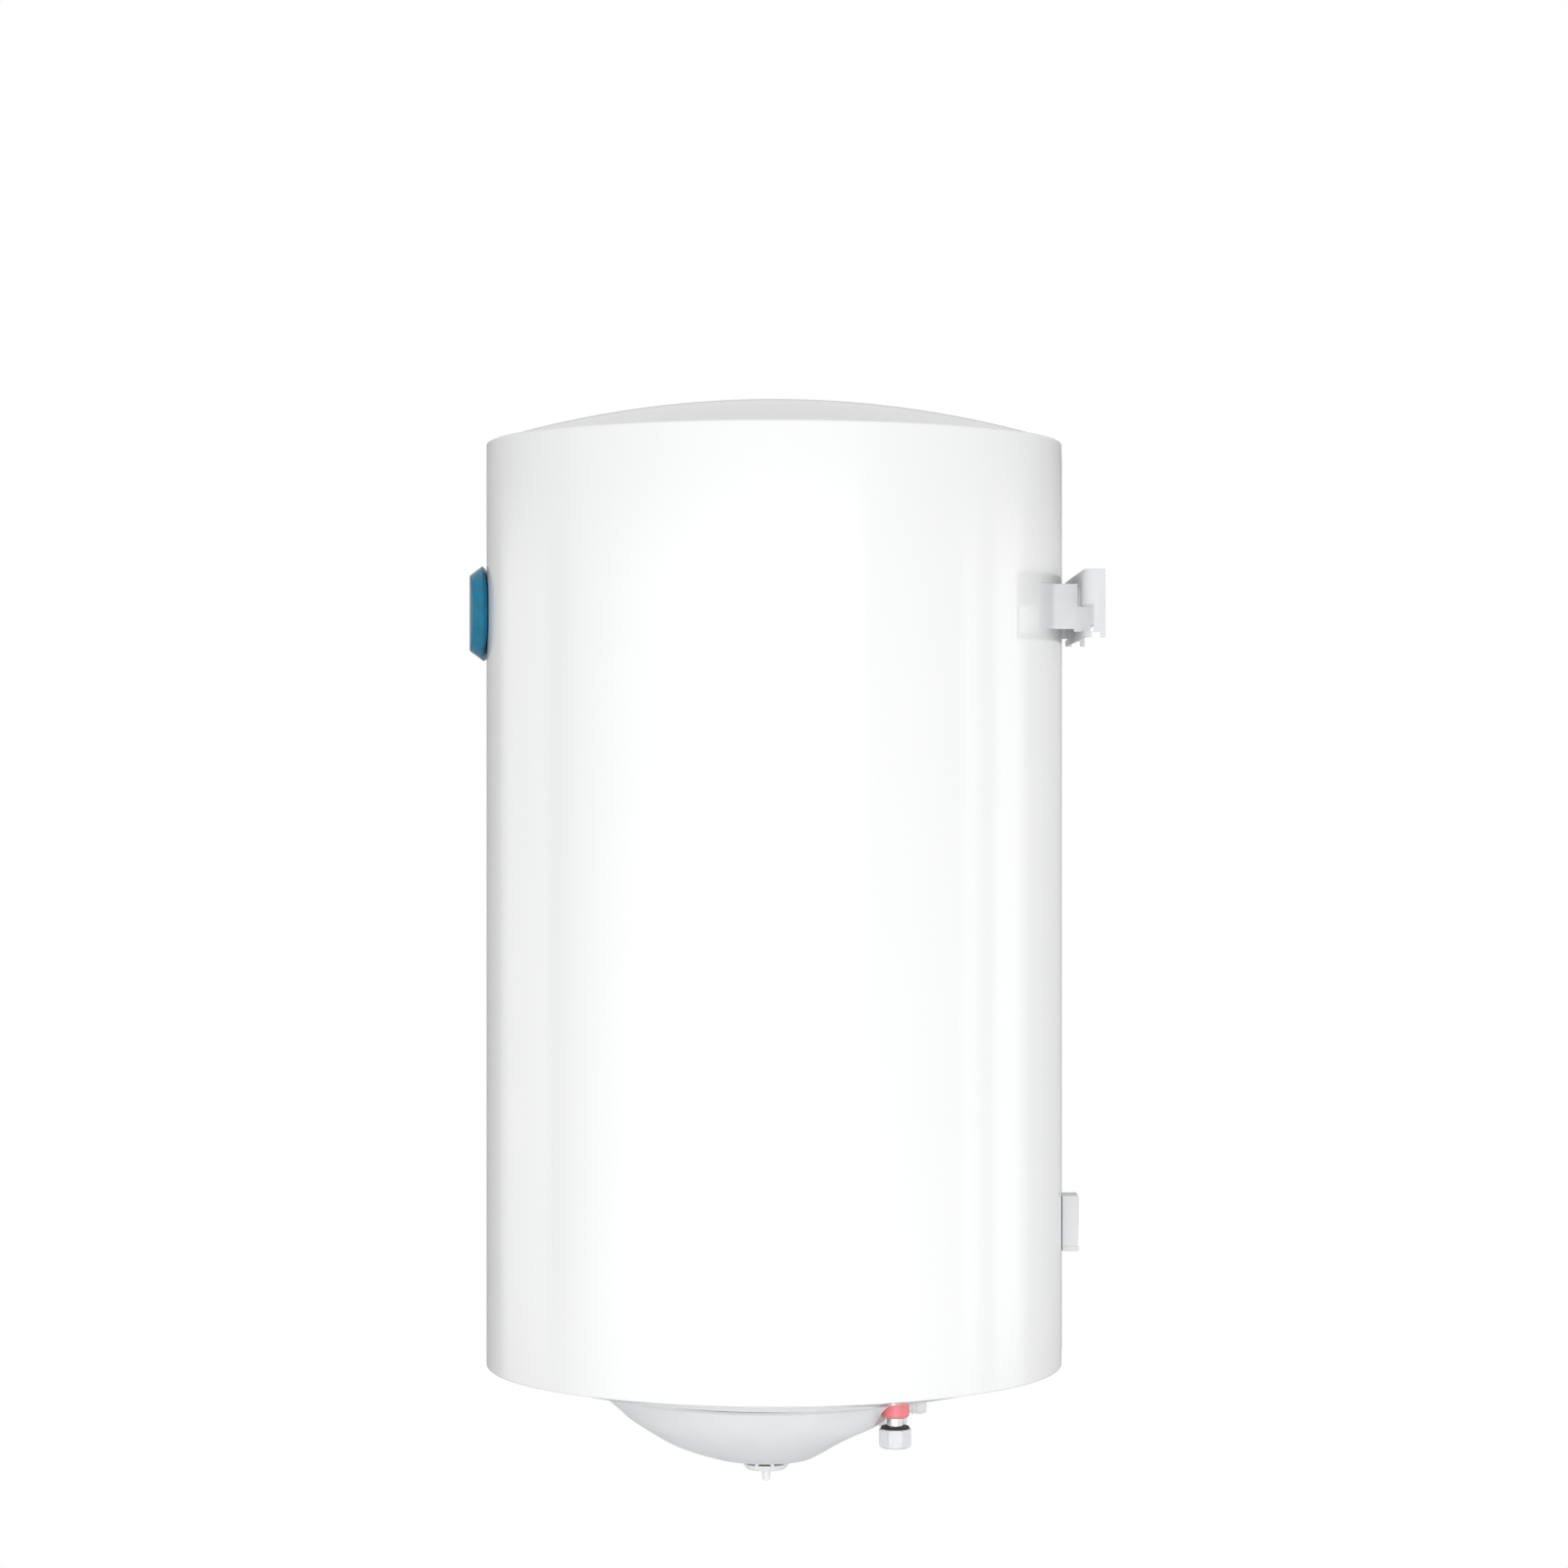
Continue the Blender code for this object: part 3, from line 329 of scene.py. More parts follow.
def addLowBox():
    # a soft box low in front, that lifts the underside
    box = studio["lowBox"]
    data = bpy.data.lights.new("low_box", "AREA")
    data.shape = "RECTANGLE"
    data.size, data.size_y = box["size"]
    data.energy = box["watts"]
    lamp = linkObject("low_box", data)
    lamp.location = box["place"]
    lamp.rotation_euler = (Vector(box["aim"]) - Vector(box["place"])).to_track_quat("-Z", "Y").to_euler()


print("heater: camera, floor and studio")
addCamera()
addFloor()
addStudio()
addLowBox()


# ---- finishes
def grainOf(tree, size, detail=2.0, stretch=(1, 1, 1)):
    # noise whose lumps are about size metres across, on the piece's own coordinates
    coordinates = addNode(tree, "ShaderNodeTexCoord")
    placed = addNode(tree, "ShaderNodeMapping", {}, {"Vector": coordinates.outputs["Object"],
                                                     "Scale": stretch})
    noise = addNode(tree, "ShaderNodeTexNoise", {}, {"Vector": placed.outputs["Vector"], "Scale": 1 / size,
                                                     "Detail": detail, "Roughness": 0.5})
    return noise.outputs["Fac"]


def cellsOf(tree, size):
    # round cells about size metres apart, as in a blown foam
    coordinates = addNode(tree, "ShaderNodeTexCoord")
    cells = addNode(tree, "ShaderNodeTexVoronoi", {}, {"Vector": coordinates.outputs["Object"],
                                                       "Scale": 1 / size})
    return cells.outputs["Distance"]


def makeFinish(name, values, colours, dulling=None, bump=None, pattern=grainOf):
    # colours: grain, first, second and range; dulling: grain and two roughnesses
    # bump: grain, depth and strength; a grain is the arguments that its pattern takes
    material = bpy.data.materials.new(name)
    material.use_nodes = True
    tree = material.node_tree
    shader = tree.nodes["Principled BSDF"]
    for socket, value in values.items():
        shader.inputs[socket].default_value = toLinear(value) if isinstance(value, str) else value
    grain, first, second, *span = colours
    mixed = addNode(tree, "ShaderNodeMix", {"data_type": "RGBA"}, {
        0: ramp(tree, pattern(tree, *grain), *(span or (0.35, 0.65))),
        6: toLinear(first), 7: toLinear(second)})
    tree.links.new(mixed.outputs[2], shader.inputs["Base Color"])
    if dulling:
        grain, low, high = dulling
        tree.links.new(ramp(tree, pattern(tree, *grain), 0.3, 0.7, low, high), shader.inputs["Roughness"])
    if bump:
        grain, depth, *strength = bump
        relief = addNode(tree, "ShaderNodeBump", {}, {"Height": pattern(tree, *grain), "Distance": depth,
                                                      "Strength": (strength or [1.0])[0]})
        tree.links.new(relief.outputs["Normal"], shader.inputs["Normal"])
    return material


def sleevePlastic(name, first, second):
    # soft coloured polythene sleeve: waxy, slightly translucent, with faint mould flow
    return makeFinish(name, {"Base Color": first, "Roughness": 0.36, "IOR": 1.51, "Subsurface Weight": 0.15,
                             "Subsurface Scale": 0.001},
                      ((6 * mm, 2.0), first, second), ((2 * mm,), 0.30, 0.42), ((0.8 * mm, 2.0), 0.008 * mm))


def metalFinish(name, first, second, rough, grain, stretch=(1, 1, 1), depth=0.01 * mm):
    # bare metals of the inside; each keeps its own colour, roughness and direction of grain
    lines = (grain, 3.0, stretch)
    return makeFinish(name, {"Base Color": first, "Roughness": rough[0], "Metallic": 1.0},
                      ((4 * grain, 4.0), first, second), (lines, *rough), (lines, depth))


def wireSheath(name, first, second):
    # extruded PVC core insulation: satin, with a faint drawn line along it
    return makeFinish(name, {"Base Color": first, "Roughness": 0.45, "IOR": 1.53},
                      ((3 * mm,), first, second), ((1.5 * mm,), 0.38, 0.52), ((0.5 * mm,), 0.01 * mm))


print("heater: finishes")
# stoved white enamel on rolled sheet: clean soft reflections, hardly broken by orange peel
enamel = makeFinish("stoved white enamel", {"Base Color": "#F0F0F0", "Roughness": 0.30, "IOR": 1.5,
                                            "Coat Weight": 1.0, "Coat Roughness": 0.05, "Coat IOR": 1.6},
                    ((90 * mm, 0.0), "#EEEFEF", "#F0F0F0", 0.1, 0.9), ((40 * mm, 0.0), 0.296, 0.304))
# thinner, duller coat of the same white on the folded hanging steel
fitting = makeFinish("satin white fitting paint", {"Base Color": "#DCDDDE", "Roughness": 0.5, "IOR": 1.45,
                                                   "Specular IOR Level": 0.35},
                     ((30 * mm,), "#DADBDC", "#DEDFE0"), ((2 * mm,), 0.46, 0.56), ((1.2 * mm,), 0.006 * mm))
# injection moulded white ABS with a fine spark-eroded grain, drawn at 0.7 mm so that it shows
whiteAbs = makeFinish("moulded white ABS", {"Base Color": "#E6E7E8", "Roughness": 0.38, "IOR": 1.53,
                                            "Coat Weight": 0.1, "Coat Roughness": 0.25},
                      ((45 * mm,), "#E7E8E9", "#E4E5E6"), ((1.2 * mm, 3.0), 0.34, 0.42),
                      ((0.7 * mm,), 0.010 * mm))
# glass filled nylon of the union nuts and small fittings: pale, a little mottled, satin
nylon = makeFinish("moulded pale nylon", {"Base Color": "#DFE0E1", "Roughness": 0.42, "IOR": 1.53},
                   ((3 * mm, 3.0), "#E1E2E3", "#DADBDD"), ((0.8 * mm,), 0.36, 0.48),
                   ((0.5 * mm,), 0.012 * mm))
# moulded teal styrene: deep colour, polished, with a slight moulding flow
teal = makeFinish("polished teal styrene", {"Base Color": "#147291", "Roughness": 0.3, "IOR": 1.45,
                                            "Specular IOR Level": 0.3},
                  ((14 * mm,), "#126E8A", "#16779A"), ((4 * mm,), 0.26, 0.34), ((1.5 * mm, 1.0), 0.003 * mm))
# tinted acrylic lamp lens: the colour is inside, the skin is glossy
ruby = makeFinish("ruby tinted acrylic", {"Base Color": "#C2213F", "Roughness": 0.08, "IOR": 1.49,
                                          "Transmission Weight": 0.25, "Coat Weight": 0.4,
                                          "Coat Roughness": 0.03},
                  ((5 * mm,), "#BC1E3C", "#CE2A48"), None, ((1.2 * mm, 1.0), 0.004 * mm))
pinkSleeve = sleevePlastic("salmon polythene", "#F08A90", "#EA7F87")
blueSleeve = sleevePlastic("blue polythene", "#3F74C4", "#376AB8")
# polished chromed pipe: mirror bright with hair-fine lines round it
chrome = makeFinish("chromed steel pipe", {"Base Color": "#E4E4E6", "Roughness": 0.10, "Metallic": 1.0},
                    ((5 * mm, 3.0), "#E8E8EA", "#D9D9DC"), ((2 * mm, 3.0, (0.2, 0.2, 6)), 0.06, 0.16),
                    ((1.2 * mm, 2.0, (0.1, 0.1, 8)), 0.002 * mm))
# cured EPDM sealing ring: nearly black and dry, with a soft bloom
rubber = makeFinish("black EPDM rubber", {"Base Color": "#1B1C1E", "Roughness": 0.7, "IOR": 1.5,
                                          "Sheen Weight": 0.15, "Sheen Roughness": 0.5},
                    ((4 * mm, 4.0), "#191A1B", "#26272A"), ((1 * mm, 3.0), 0.6, 0.8),
                    ((0.6 * mm, 3.0), 0.02 * mm))
carried = {
    # blown polyurethane: amber-buff, matt, pocked by closed cells of 1 to 3 mm
    "blown foam": makeFinish("blown polyurethane foam", {"Base Color": "#D9C08A", "Roughness": 0.95,
                                                         "IOR": 1.45},
                             ((2.2 * mm,), "#DCC48F", "#C2A467", 0.2, 0.8), None,
                             ((2.2 * mm,), 0.4 * mm, 0.6), cellsOf),
    # glass enamel fused on the tank: dark blue, glossy, with fine pale specks
    "tank": makeFinish("vitreous blue enamel", {"Base Color": "#22364F", "Roughness": 0.2, "IOR": 1.52,
                                                "Coat Weight": 0.8, "Coat Roughness": 0.08},
                       ((1.6 * mm, 4.0), "#1F334C", "#3A5373", 0.55, 0.75), ((12 * mm, 3.0), 0.14, 0.26),
                       ((5 * mm,), 0.05 * mm)),
    "steel": metalFinish("zinc plated steel", "#B9BABC", "#A4A6A9", (0.28, 0.42), 1.5 * mm),
    "element": metalFinish("sheathed nickel alloy", "#8A8883", "#6E6C68", (0.35, 0.5), 1.0 * mm),
    "magnesium": metalFinish("cast magnesium", "#B7B8B6", "#95979A", (0.5, 0.7), 2.0 * mm, depth=0.05 * mm),
    "copper": metalFinish("drawn copper", "#C9805F", "#A9603F", (0.22, 0.36), 1.2 * mm, (1, 1, 0.1)),
    "brass": metalFinish("turned brass", "#CBA557", "#B08A40", (0.2, 0.34), 0.8 * mm, (0.2, 0.2, 5)),
    # bakelite of the thermostat body: near black with the dull streaks of its filler
    "bakelite": makeFinish("pressed black bakelite", {"Base Color": "#2A2624", "Roughness": 0.4, "IOR": 1.6},
                           ((2.5 * mm, 5.0), "#26221F", "#3A342F"), ((1.5 * mm, 4.0), 0.33, 0.52),
                           ((0.8 * mm, 3.0), 0.015 * mm)),
    "brown core": wireSheath("brown PVC", "#5A3422", "#4C2B1B"),
    "green core": wireSheath("green and yellow PVC", "#8FB53A", "#6F9A2C"),
    "blue core": wireSheath("blue PVC", "#2F5FA8", "#264F90"),
    # blown glass of the neon lamp: clear, with slight draw waves
    "glass": makeFinish("clear blown glass", {"Base Color": "#F6EFE6", "Roughness": 0.03, "IOR": 1.5,
                                              "Transmission Weight": 0.9},
                        ((3 * mm,), "#F8F2EA", "#F2E6D8"), None, ((2 * mm,), 0.02 * mm)),
}


# ---- casing
shell = {"segments": 288, "wall": 1.0 * mm, "rimRound": 4.5 * mm, "lip": 6.0 * mm, "capRadius": 211.7 * mm,
         "seamHeight": 0.6 * mm, "seamHalf": 6 * mm, "topRise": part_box("top_cap")[1].z - topRim,
         "bottomRise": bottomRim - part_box("bottom_cap")[0].z, "capEdge": 2.2 * mm}


def seamRadius(angle, radius, height):
    # the lapped lengthwise seam runs down the back, facing the wall
    off = abs((angle - math.pi / 2 + math.pi) % (2 * math.pi) - math.pi) * radius
    fade = min(1, max(0, (shell["seamHalf"] - off) / (1.5 * mm)))
    inside = bottomRim + 12 * mm < height < topRim - 12 * mm and radius > caseRadius - 0.1 * mm
    return radius + (shell["seamHeight"] * fade * fade * (3 - 2 * fade) if inside else 0)


def makeCasing():
    # rolled sheet with both rims turned in over the caps
    inner = caseRadius - shell["wall"]
    lip = shell["capRadius"] + 0.3 * mm
    roll = shell["rimRound"]
    corners = [(lip, topRim - 3 * mm, 0), (lip, topRim, 0.35 * mm), (caseRadius, topRim, roll),
               (caseRadius, topRim - 12 * mm, 0), (caseRadius, topRim - 12.5 * mm, 0),
               (caseRadius, bottomRim + 12.5 * mm, 0), (caseRadius, bottomRim + 12 * mm, 0),
               (caseRadius, bottomRim, 1.2 * mm), (lip, bottomRim, 0.35 * mm), (lip, bottomRim + 3 * mm, 0),
               (inner, bottomRim + roll + shell["wall"], 1 * mm),
               (inner, topRim - roll - shell["wall"], 1 * mm)]
    piece = turnedPiece("enamelled_casing", corners, (0, axisY), shell["segments"], True, seamRadius)
    mount(piece, "heater", "white_enamel", enamel, "jacket")


def makeCaps():
    # pressed dished ends, folded into the casing's rims
    edge = shell["capEdge"]
    radius = shell["capRadius"]
    wall = shell["wall"]
    for name, node, height, rise in (("dished_top", "top_cap", topRim, shell["topRise"]),
                                     ("dished_bottom", "bottom_cap", bottomRim, -shell["bottomRise"])):
        side = math.copysign(1, rise)
        inner = 0.0 if rise > 0 else 66 * mm
        outside = dome(radius, rise, height, 40, inner)
        inside = [(reach, up - side * wall) for reach, up in outside if reach < radius - 2 * edge]
        outside = [(reach, up) for reach, up in outside if reach < radius - edge]
        # the pressed shoulder drops from the dish into the groove beside the rim
        shoulder = roundedPath([(*outside[-1], 0), (radius - 0.2 * mm, height + side * 0.1 * mm, edge * 0.6),
                                (radius - 0.2 * mm, height - side * shell["lip"], 0)])[1:]
        fold = [(radius - 0.2 * mm - wall, height - side * shell["lip"]),
                (radius - 0.2 * mm - wall, height - side * 2 * mm)]
        path = outside + [tuple(point) for point in shoulder] + fold + inside[::-1]
        mesh = turnedMesh(name, path, (0, axisY), shell["segments"], inner > 0)
        piece = linkObject(name, mesh)
        if inner > 0:
            for pipe in ("hot_pipe", "cold_pipe"):
                place = middleOf(pipe)
                hole = turnedMesh("hole", [(0, height + 30 * mm), (10.9 * mm, height + 30 * mm),
                                           (10.9 * mm, height - 40 * mm), (0, height - 40 * mm)],
                                  (place.x, place.y), 48)
                carve(piece, linkObject("hole", hole))
        mount(piece, "heater", "white_enamel", enamel, node)


print("heater: casing")
makeCasing()
makeCaps()


# ---- bottom cover
cover = {
    # (distance from the knob's line, depth under the casing's rim) in mm, from the rim to the knob
    "front": [(129, 18.6), (121, 24.3), (113, 31.2), (104, 39.3), (90, 48.6), (75, 57.8), (55, 66.0),
              (31, 72.2), (6.2, 72.2)],
    "side": [(126, 20.4), (120, 27), (112, 35), (102, 43.0), (88, 51.5), (72, 59.0), (52, 66.5), (31, 72.2),
             (6.2, 72.2)],
    "rear": [(106, 24.5), (100.5, 29), (95.0, 36.2), (87, 43.0), (76, 47.0), (60, 55.2), (45, 65.2),
             (31, 72.2), (6.2, 72.2)],
    "lensSeat": 6.0 * mm, "glandBore": 7.1 * mm, "wall": 2.5 * mm, "notch": 14.5 * mm, "rows": 7, "blur": 1.6,
    "turnStep": 2.0, "notchStep": 0.5,
}
lensSlope = math.radians(22)
knobLine = Vector((0.0, middleOf("thermostat_knob").y))
pipeSpots = [middleOf("hot_pipe").xy, middleOf("cold_pipe").xy]


def capDepth(radius):
    # how far the dished bottom hangs under the rim at this distance from the tank's axis
    rise = shell["bottomRise"]
    ball = (shell["capRadius"] ** 2 + rise ** 2) / (2 * rise)
    return math.sqrt(ball ** 2 - radius ** 2) - (ball - rise)


def coverReach(angle, place):
    # reach and depth of the moulding at an angle from the front, before the recesses
    ahead = math.cos(angle)
    ends = cover["front"] if ahead > 0 else cover["rear"]
    weight = ahead ** 2
    values = []
    for part in (0, 1):
        mixed = [end[part] * weight + side[part] * (1 - weight) for end, side in zip(ends, cover["side"])]
        values.append(catmull(mixed, place) * mm)
    return values


def recessLimit(angle):
    # nearest that the recess round a pipe comes along this ray
    ray = Vector((math.sin(angle), -math.cos(angle)))
    limit = 1.0
    for spot in pipeSpots:
        toPipe = spot - knobLine
        along = toPipe.dot(ray)
        across = abs(toPipe.x * ray.y - toPipe.y * ray.x)
        if along > 0 and across < cover["notch"]:
            limit = min(limit, along - math.sqrt(cover["notch"] ** 2 - across ** 2))
    return limit


def coverPoint(angle, place):
    reach, depth = coverReach(angle, place)
    spread = math.radians(cover["blur"])
    samples = [min(reach, recessLimit(angle + spread * (step - 3) / 3)) for step in range(7)]
    reach = sum(samples) / len(samples)
    spot = knobLine + Vector((math.sin(angle), -math.cos(angle))) * reach
    if place < 1:
        underCap = capDepth((spot - Vector((0, axisY))).length) + 0.4 * mm
        depth = max(depth, underCap)
    return spot.x, spot.y, bottomRim - depth


def coverAngles():
    # finer steps where the walls of the two recesses stand
    angles = []
    turn = 0.0
    while turn < 360 - 1e-6:
        angles.append(math.radians(turn))
        near = any(abs((turn + cover["turnStep"] / 2) - centre) < 11 for centre in (152.5, 207.5))
        turn += cover["notchStep"] if near else cover["turnStep"]
    return angles


def makeCover():
    # moulded cover over the electrics, lofted through its front, side and rear outlines
    bm = bmesh.new()
    angles = coverAngles()
    last = len(cover["front"]) - 1
    places = [step / cover["rows"] for step in range(last * cover["rows"] + 1)]
    rows = [[bm.verts.new(coverPoint(angle, place)) for angle in angles] for place in places]
    skinRows(bm, rows)
    piece = linkObject("moulded_bottom_cover", toMesh(bm, "moulded_bottom_cover"))
    wall = piece.modifiers.new("wall", "SOLIDIFY")
    wall.thickness = cover["wall"]
    wall.offset = -1.0
    bpy.context.view_layer.update()
    settle(piece)
    return piece


def drill(piece, radius, reach, centre, turn):
    # a round hole through a piece, turned about X from upright
    hole = turnedMesh("hole", [(0, reach), (radius, reach), (radius, -reach), (0, -reach)], (0, 0), 48)
    hole.transform(Matrix.Translation(centre) @ Matrix.Rotation(turn, 4, "X"))
    carve(piece, linkObject("hole", hole))


def mountCover(piece):
    # a round seat for the lamp lens, square to the cover's front slope, and a bore for the cable gland
    drill(piece, cover["lensSeat"], 15 * mm, middleOf("indicator_lens"), -lensSlope)
    behind = middleOf("cable_gland") - Vector((0, 4 * mm, 0))
    drill(piece, cover["glandBore"], 12 * mm, behind, math.pi / 2)
    mount(piece, "heater", "white_plastic", whiteAbs, "bottom_cover")


print("heater: bottom cover")
mountCover(makeCover())


# ---- knob and indicator
knob = {"radius": 17.0 * mm, "lower": 13.6 * mm, "finHeight": 3.6 * mm, "finCount": 8, "finWidth": 2.4 * mm,
        "finDepth": 3.2 * mm, "finRing": 15.0 * mm, "stub": 3.4 * mm, "stubEnd": 2.7 * mm}


def finTree():
    # a ring of small tapered fins: count, ring radius, height and foot size are inputs
    tree = bpy.data.node_groups.new("knob fins", "GeometryNodeTree")
    face = tree.interface
    face.new_socket("Geometry", in_out="INPUT", socket_type="NodeSocketGeometry")
    for label, kind, value in (("Fin Count", "NodeSocketInt", knob["finCount"]),
                               ("Ring Radius", "NodeSocketFloat", knob["finRing"]),
                               ("Fin Height", "NodeSocketFloat", knob["finHeight"]),
                               ("Fin Width", "NodeSocketFloat", knob["finWidth"]),
                               ("Fin Depth", "NodeSocketFloat", knob["finDepth"]),
                               ("Finish", "NodeSocketMaterial", None)):
        socket = face.new_socket(label, in_out="INPUT", socket_type=kind)
        if value is not None:
            socket.default_value = value
    face.new_socket("Geometry", in_out="OUTPUT", socket_type="NodeSocketGeometry")
    given = addNode(tree, "NodeGroupInput").outputs
    ring = addNode(tree, "GeometryNodeMeshCircle", {}, {"Vertices": given["Fin Count"],
                                                        "Radius": given["Ring Radius"]})
    fin = addNode(tree, "GeometryNodeMeshCone", {}, {"Vertices": 16, "Side Segments": 6, "Radius Top": 0.42,
                                                     "Radius Bottom": 0.72, "Depth": 1.0})
    size = addNode(tree, "ShaderNodeCombineXYZ", {}, {"X": given["Fin Depth"], "Y": given["Fin Width"],
                                                      "Z": given["Fin Height"]})
    shaped = addNode(tree, "GeometryNodeTransform", {}, {"Geometry": fin.outputs["Mesh"],
                                                         "Scale": size.outputs["Vector"]})
    place = addNode(tree, "GeometryNodeInputPosition")
    facing = addNode(tree, "FunctionNodeAlignRotationToVector", {"axis": "X"},
                     {"Vector": place.outputs["Position"]})
    spread = addNode(tree, "GeometryNodeInstanceOnPoints", {},
                     {"Points": ring.outputs["Mesh"], "Instance": shaped.outputs["Geometry"],
                      "Rotation": facing.outputs["Rotation"]})
    real = addNode(tree, "GeometryNodeRealizeInstances", {}, {"Geometry": spread.outputs["Instances"]})
    painted = addNode(tree, "GeometryNodeSetMaterial", {}, {"Geometry": real.outputs["Geometry"],
                                                            "Material": given["Finish"]})
    addNode(tree, "NodeGroupOutput", {}, {"Geometry": painted.outputs["Geometry"]})
    return tree


def growFrom(tree, name, values):
    # runs a node tree on an empty mesh with the given inputs and keeps the plain result
    piece = linkObject(name, bpy.data.meshes.new(name))
    grower = piece.modifiers.new("grow", "NODES")
    grower.node_group = tree
    for item in tree.interface.items_tree:
        if item.item_type == "SOCKET" and item.in_out == "INPUT" and item.name in values:
            grower[item.identifier] = values[item.name]
    bpy.context.view_layer.update()
    settle(piece)
    return piece


def makeKnob():
    low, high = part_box("thermostat_knob")
    centre = (0, knobLine.y)
    ring = low.z + 8.6 * mm                       # underside of the disc, where the stub starts
    bore = 2.3 * mm
    corners = [(bore, high.z - 2.2 * mm, 0), (12.5 * mm, high.z - 2.2 * mm, 0), (12.5 * mm, high.z, 0.2 * mm),
               (knob["radius"] - 0.2 * mm, high.z, 0.4 * mm), (knob["radius"], high.z - 0.9 * mm, 0.5 * mm),
               (knob["lower"] + 0.6 * mm, ring + 0.3 * mm, 1.2 * mm),
               (knob["lower"] - 1.5 * mm, ring, 0.6 * mm),
               (knob["stub"] + 1.2 * mm, ring, 0.6 * mm), (knob["stub"], ring - 1.0 * mm, 0.6 * mm),
               (knob["stubEnd"], low.z, 0.5 * mm), (0, low.z, 0)]
    path = roundedPath(corners, False, 5)
    seat = high.z - 8.7 * mm                      # end of the blind hole that takes the spindle
    path = [Vector((0, seat)), Vector((bore, seat))] + path
    piece = linkObject("thermostat_dial", turnedMesh("thermostat_dial", path, centre, 128))
    fins = growFrom(finTree(), "fins", {
        "Fin Count": knob["finCount"], "Ring Radius": knob["finRing"],
        "Fin Height": knob["finHeight"] + 0.6 * mm,
        "Fin Width": knob["finWidth"], "Fin Depth": knob["finDepth"], "Finish": whiteAbs})
    fins.data.transform(Matrix.Translation((0, knobLine.y, high.z - 0.6 * mm))
                        @ Matrix.Rotation(math.radians(18), 4, "Z"))
    carve(piece, fins, "UNION")
    bump = [(0, 0.8 * mm), (0.9 * mm, 0.5 * mm), (1.0 * mm, -0.6 * mm), (0, -0.6 * mm)]
    pointer = turnedMesh("pointer", bump, (0, 0), 24)
    pointer.transform(Matrix.Translation((0, knobLine.y - 8.3 * mm, ring)) @ Matrix.Rotation(math.pi, 4, "X")
                      @ Matrix.Diagonal((0.7, 3.6, 1, 1)))
    carve(piece, linkObject("pointer", pointer), "UNION")
    mount(piece, "knob", "white_plastic", whiteAbs, "thermostat_knob")


def makeLens():
    # domed ruby lens with a thin flange on the cover
    middle = middleOf("indicator_lens")
    path = roundedPath([(0, -5.0 * mm, 0), (4.6 * mm, -5.0 * mm, 0.3 * mm), (5.4 * mm, 0.8 * mm, 0.2 * mm),
                        (5.5 * mm, 1.6 * mm, 0.2 * mm), (4.9 * mm, 2.6 * mm, 0.8 * mm),
                        (2.8 * mm, 3.5 * mm, 2 * mm), (0, 3.6 * mm, 0)], False, 6)
    mesh = turnedMesh("ruby_lens", path, (0, 0), 64)
    mesh.transform(Matrix.Translation(middle) @ Matrix.Rotation(math.pi - lensSlope, 4, "X")
                   @ Matrix.Translation((0, 0, 0.75 * mm)))
    mount(linkObject("ruby_lens", mesh), "heater", "red_lens", ruby, "indicator_lens")


print("heater: knob and indicator")
makeKnob()
makeLens()


# ---- water connections
nut = {"flats": 23.4 * mm, "edge": 3.0 * mm, "soft": 0.45 * mm, "socket": 9.2 * mm, "socketDepth": 11.0 * mm,
       "bore": 6.7 * mm}


def softMin(first, second, blend):
    # the smaller of two lengths, with the corner between them rounded
    gap = max(blend - abs(first - second), 0) / blend
    return min(first, second) - gap * gap * blend / 4


def nutRadius(angle, radius, height):
    # an octagon where the turned outline is wider than its flats
    if radius < nut["flats"] / 2 - 2.5 * mm:
        return radius
    turn = math.radians(45)
    flat = nut["flats"] / 2 / math.cos((angle + turn / 2) % turn - turn / 2)
    return softMin(radius, flat, nut["soft"])


def makeNut(side, body):
    node = f"{side}_nut"
    low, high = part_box(node)
    middle = middleOf(node)
    corner = nut["flats"] / 2 / math.cos(math.radians(22.5))
    corners = [(nut["bore"], high.z, 0.3 * mm), (corner - 0.9 * mm, high.z, 0.2 * mm),
               (corner + 0.2 * mm, high.z - 1.0 * mm, 0.6 * mm), (corner + 0.2 * mm, low.z + 4 * mm, 0),
               (corner - 0.3 * mm, low.z + 2.0 * mm, 2 * mm), (corner - nut["edge"], low.z, 1.2 * mm),
               (nut["socket"], low.z, 0.3 * mm), (nut["socket"], low.z + nut["socketDepth"], 0.2 * mm),
               (nut["bore"], low.z + nut["socketDepth"], 0.2 * mm)]
    piece = turnedPiece(f"{side}_union_nut", corners, middle, 160, True, nutRadius, 7, 32)
    mount(piece, body, "grey_plastic", nylon, node)


def makePipe(side):
    node = f"{side}_pipe"
    low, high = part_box(node)
    outer, bore, bead = 6.2 * mm, 4.8 * mm, 8.5 * mm
    corners = [(bore, high.z, 0.3 * mm), (outer, high.z, 0.3 * mm), (outer, low.z + 3.2 * mm, 1.0 * mm),
               (bead, low.z + 2.4 * mm, 0.6 * mm), (bead, low.z, 0.6 * mm), (bore, low.z, 0.5 * mm)]
    piece = turnedPiece(f"{side}_water_pipe", corners, middleOf(node), 96)
    mount(piece, "heater", "chrome", chrome, node)


def makeSleeve(side, slotName, material):
    node = f"{side}_sleeve"
    low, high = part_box(node)
    outer = (high.x - low.x) / 2
    corners = [(6.5 * mm, high.z, 0.3 * mm), (outer, high.z, 0.8 * mm), (outer, high.z - 4 * mm, 0),
               (outer, low.z + 1.9 * mm, 1.5 * mm), (outer - 1.4 * mm, low.z, 1.0 * mm),
               (6.5 * mm, low.z, 0.3 * mm)]
    piece = turnedPiece(f"{side}_colour_sleeve", corners, middleOf(node), 96)
    mount(piece, "heater", slotName, material, node)


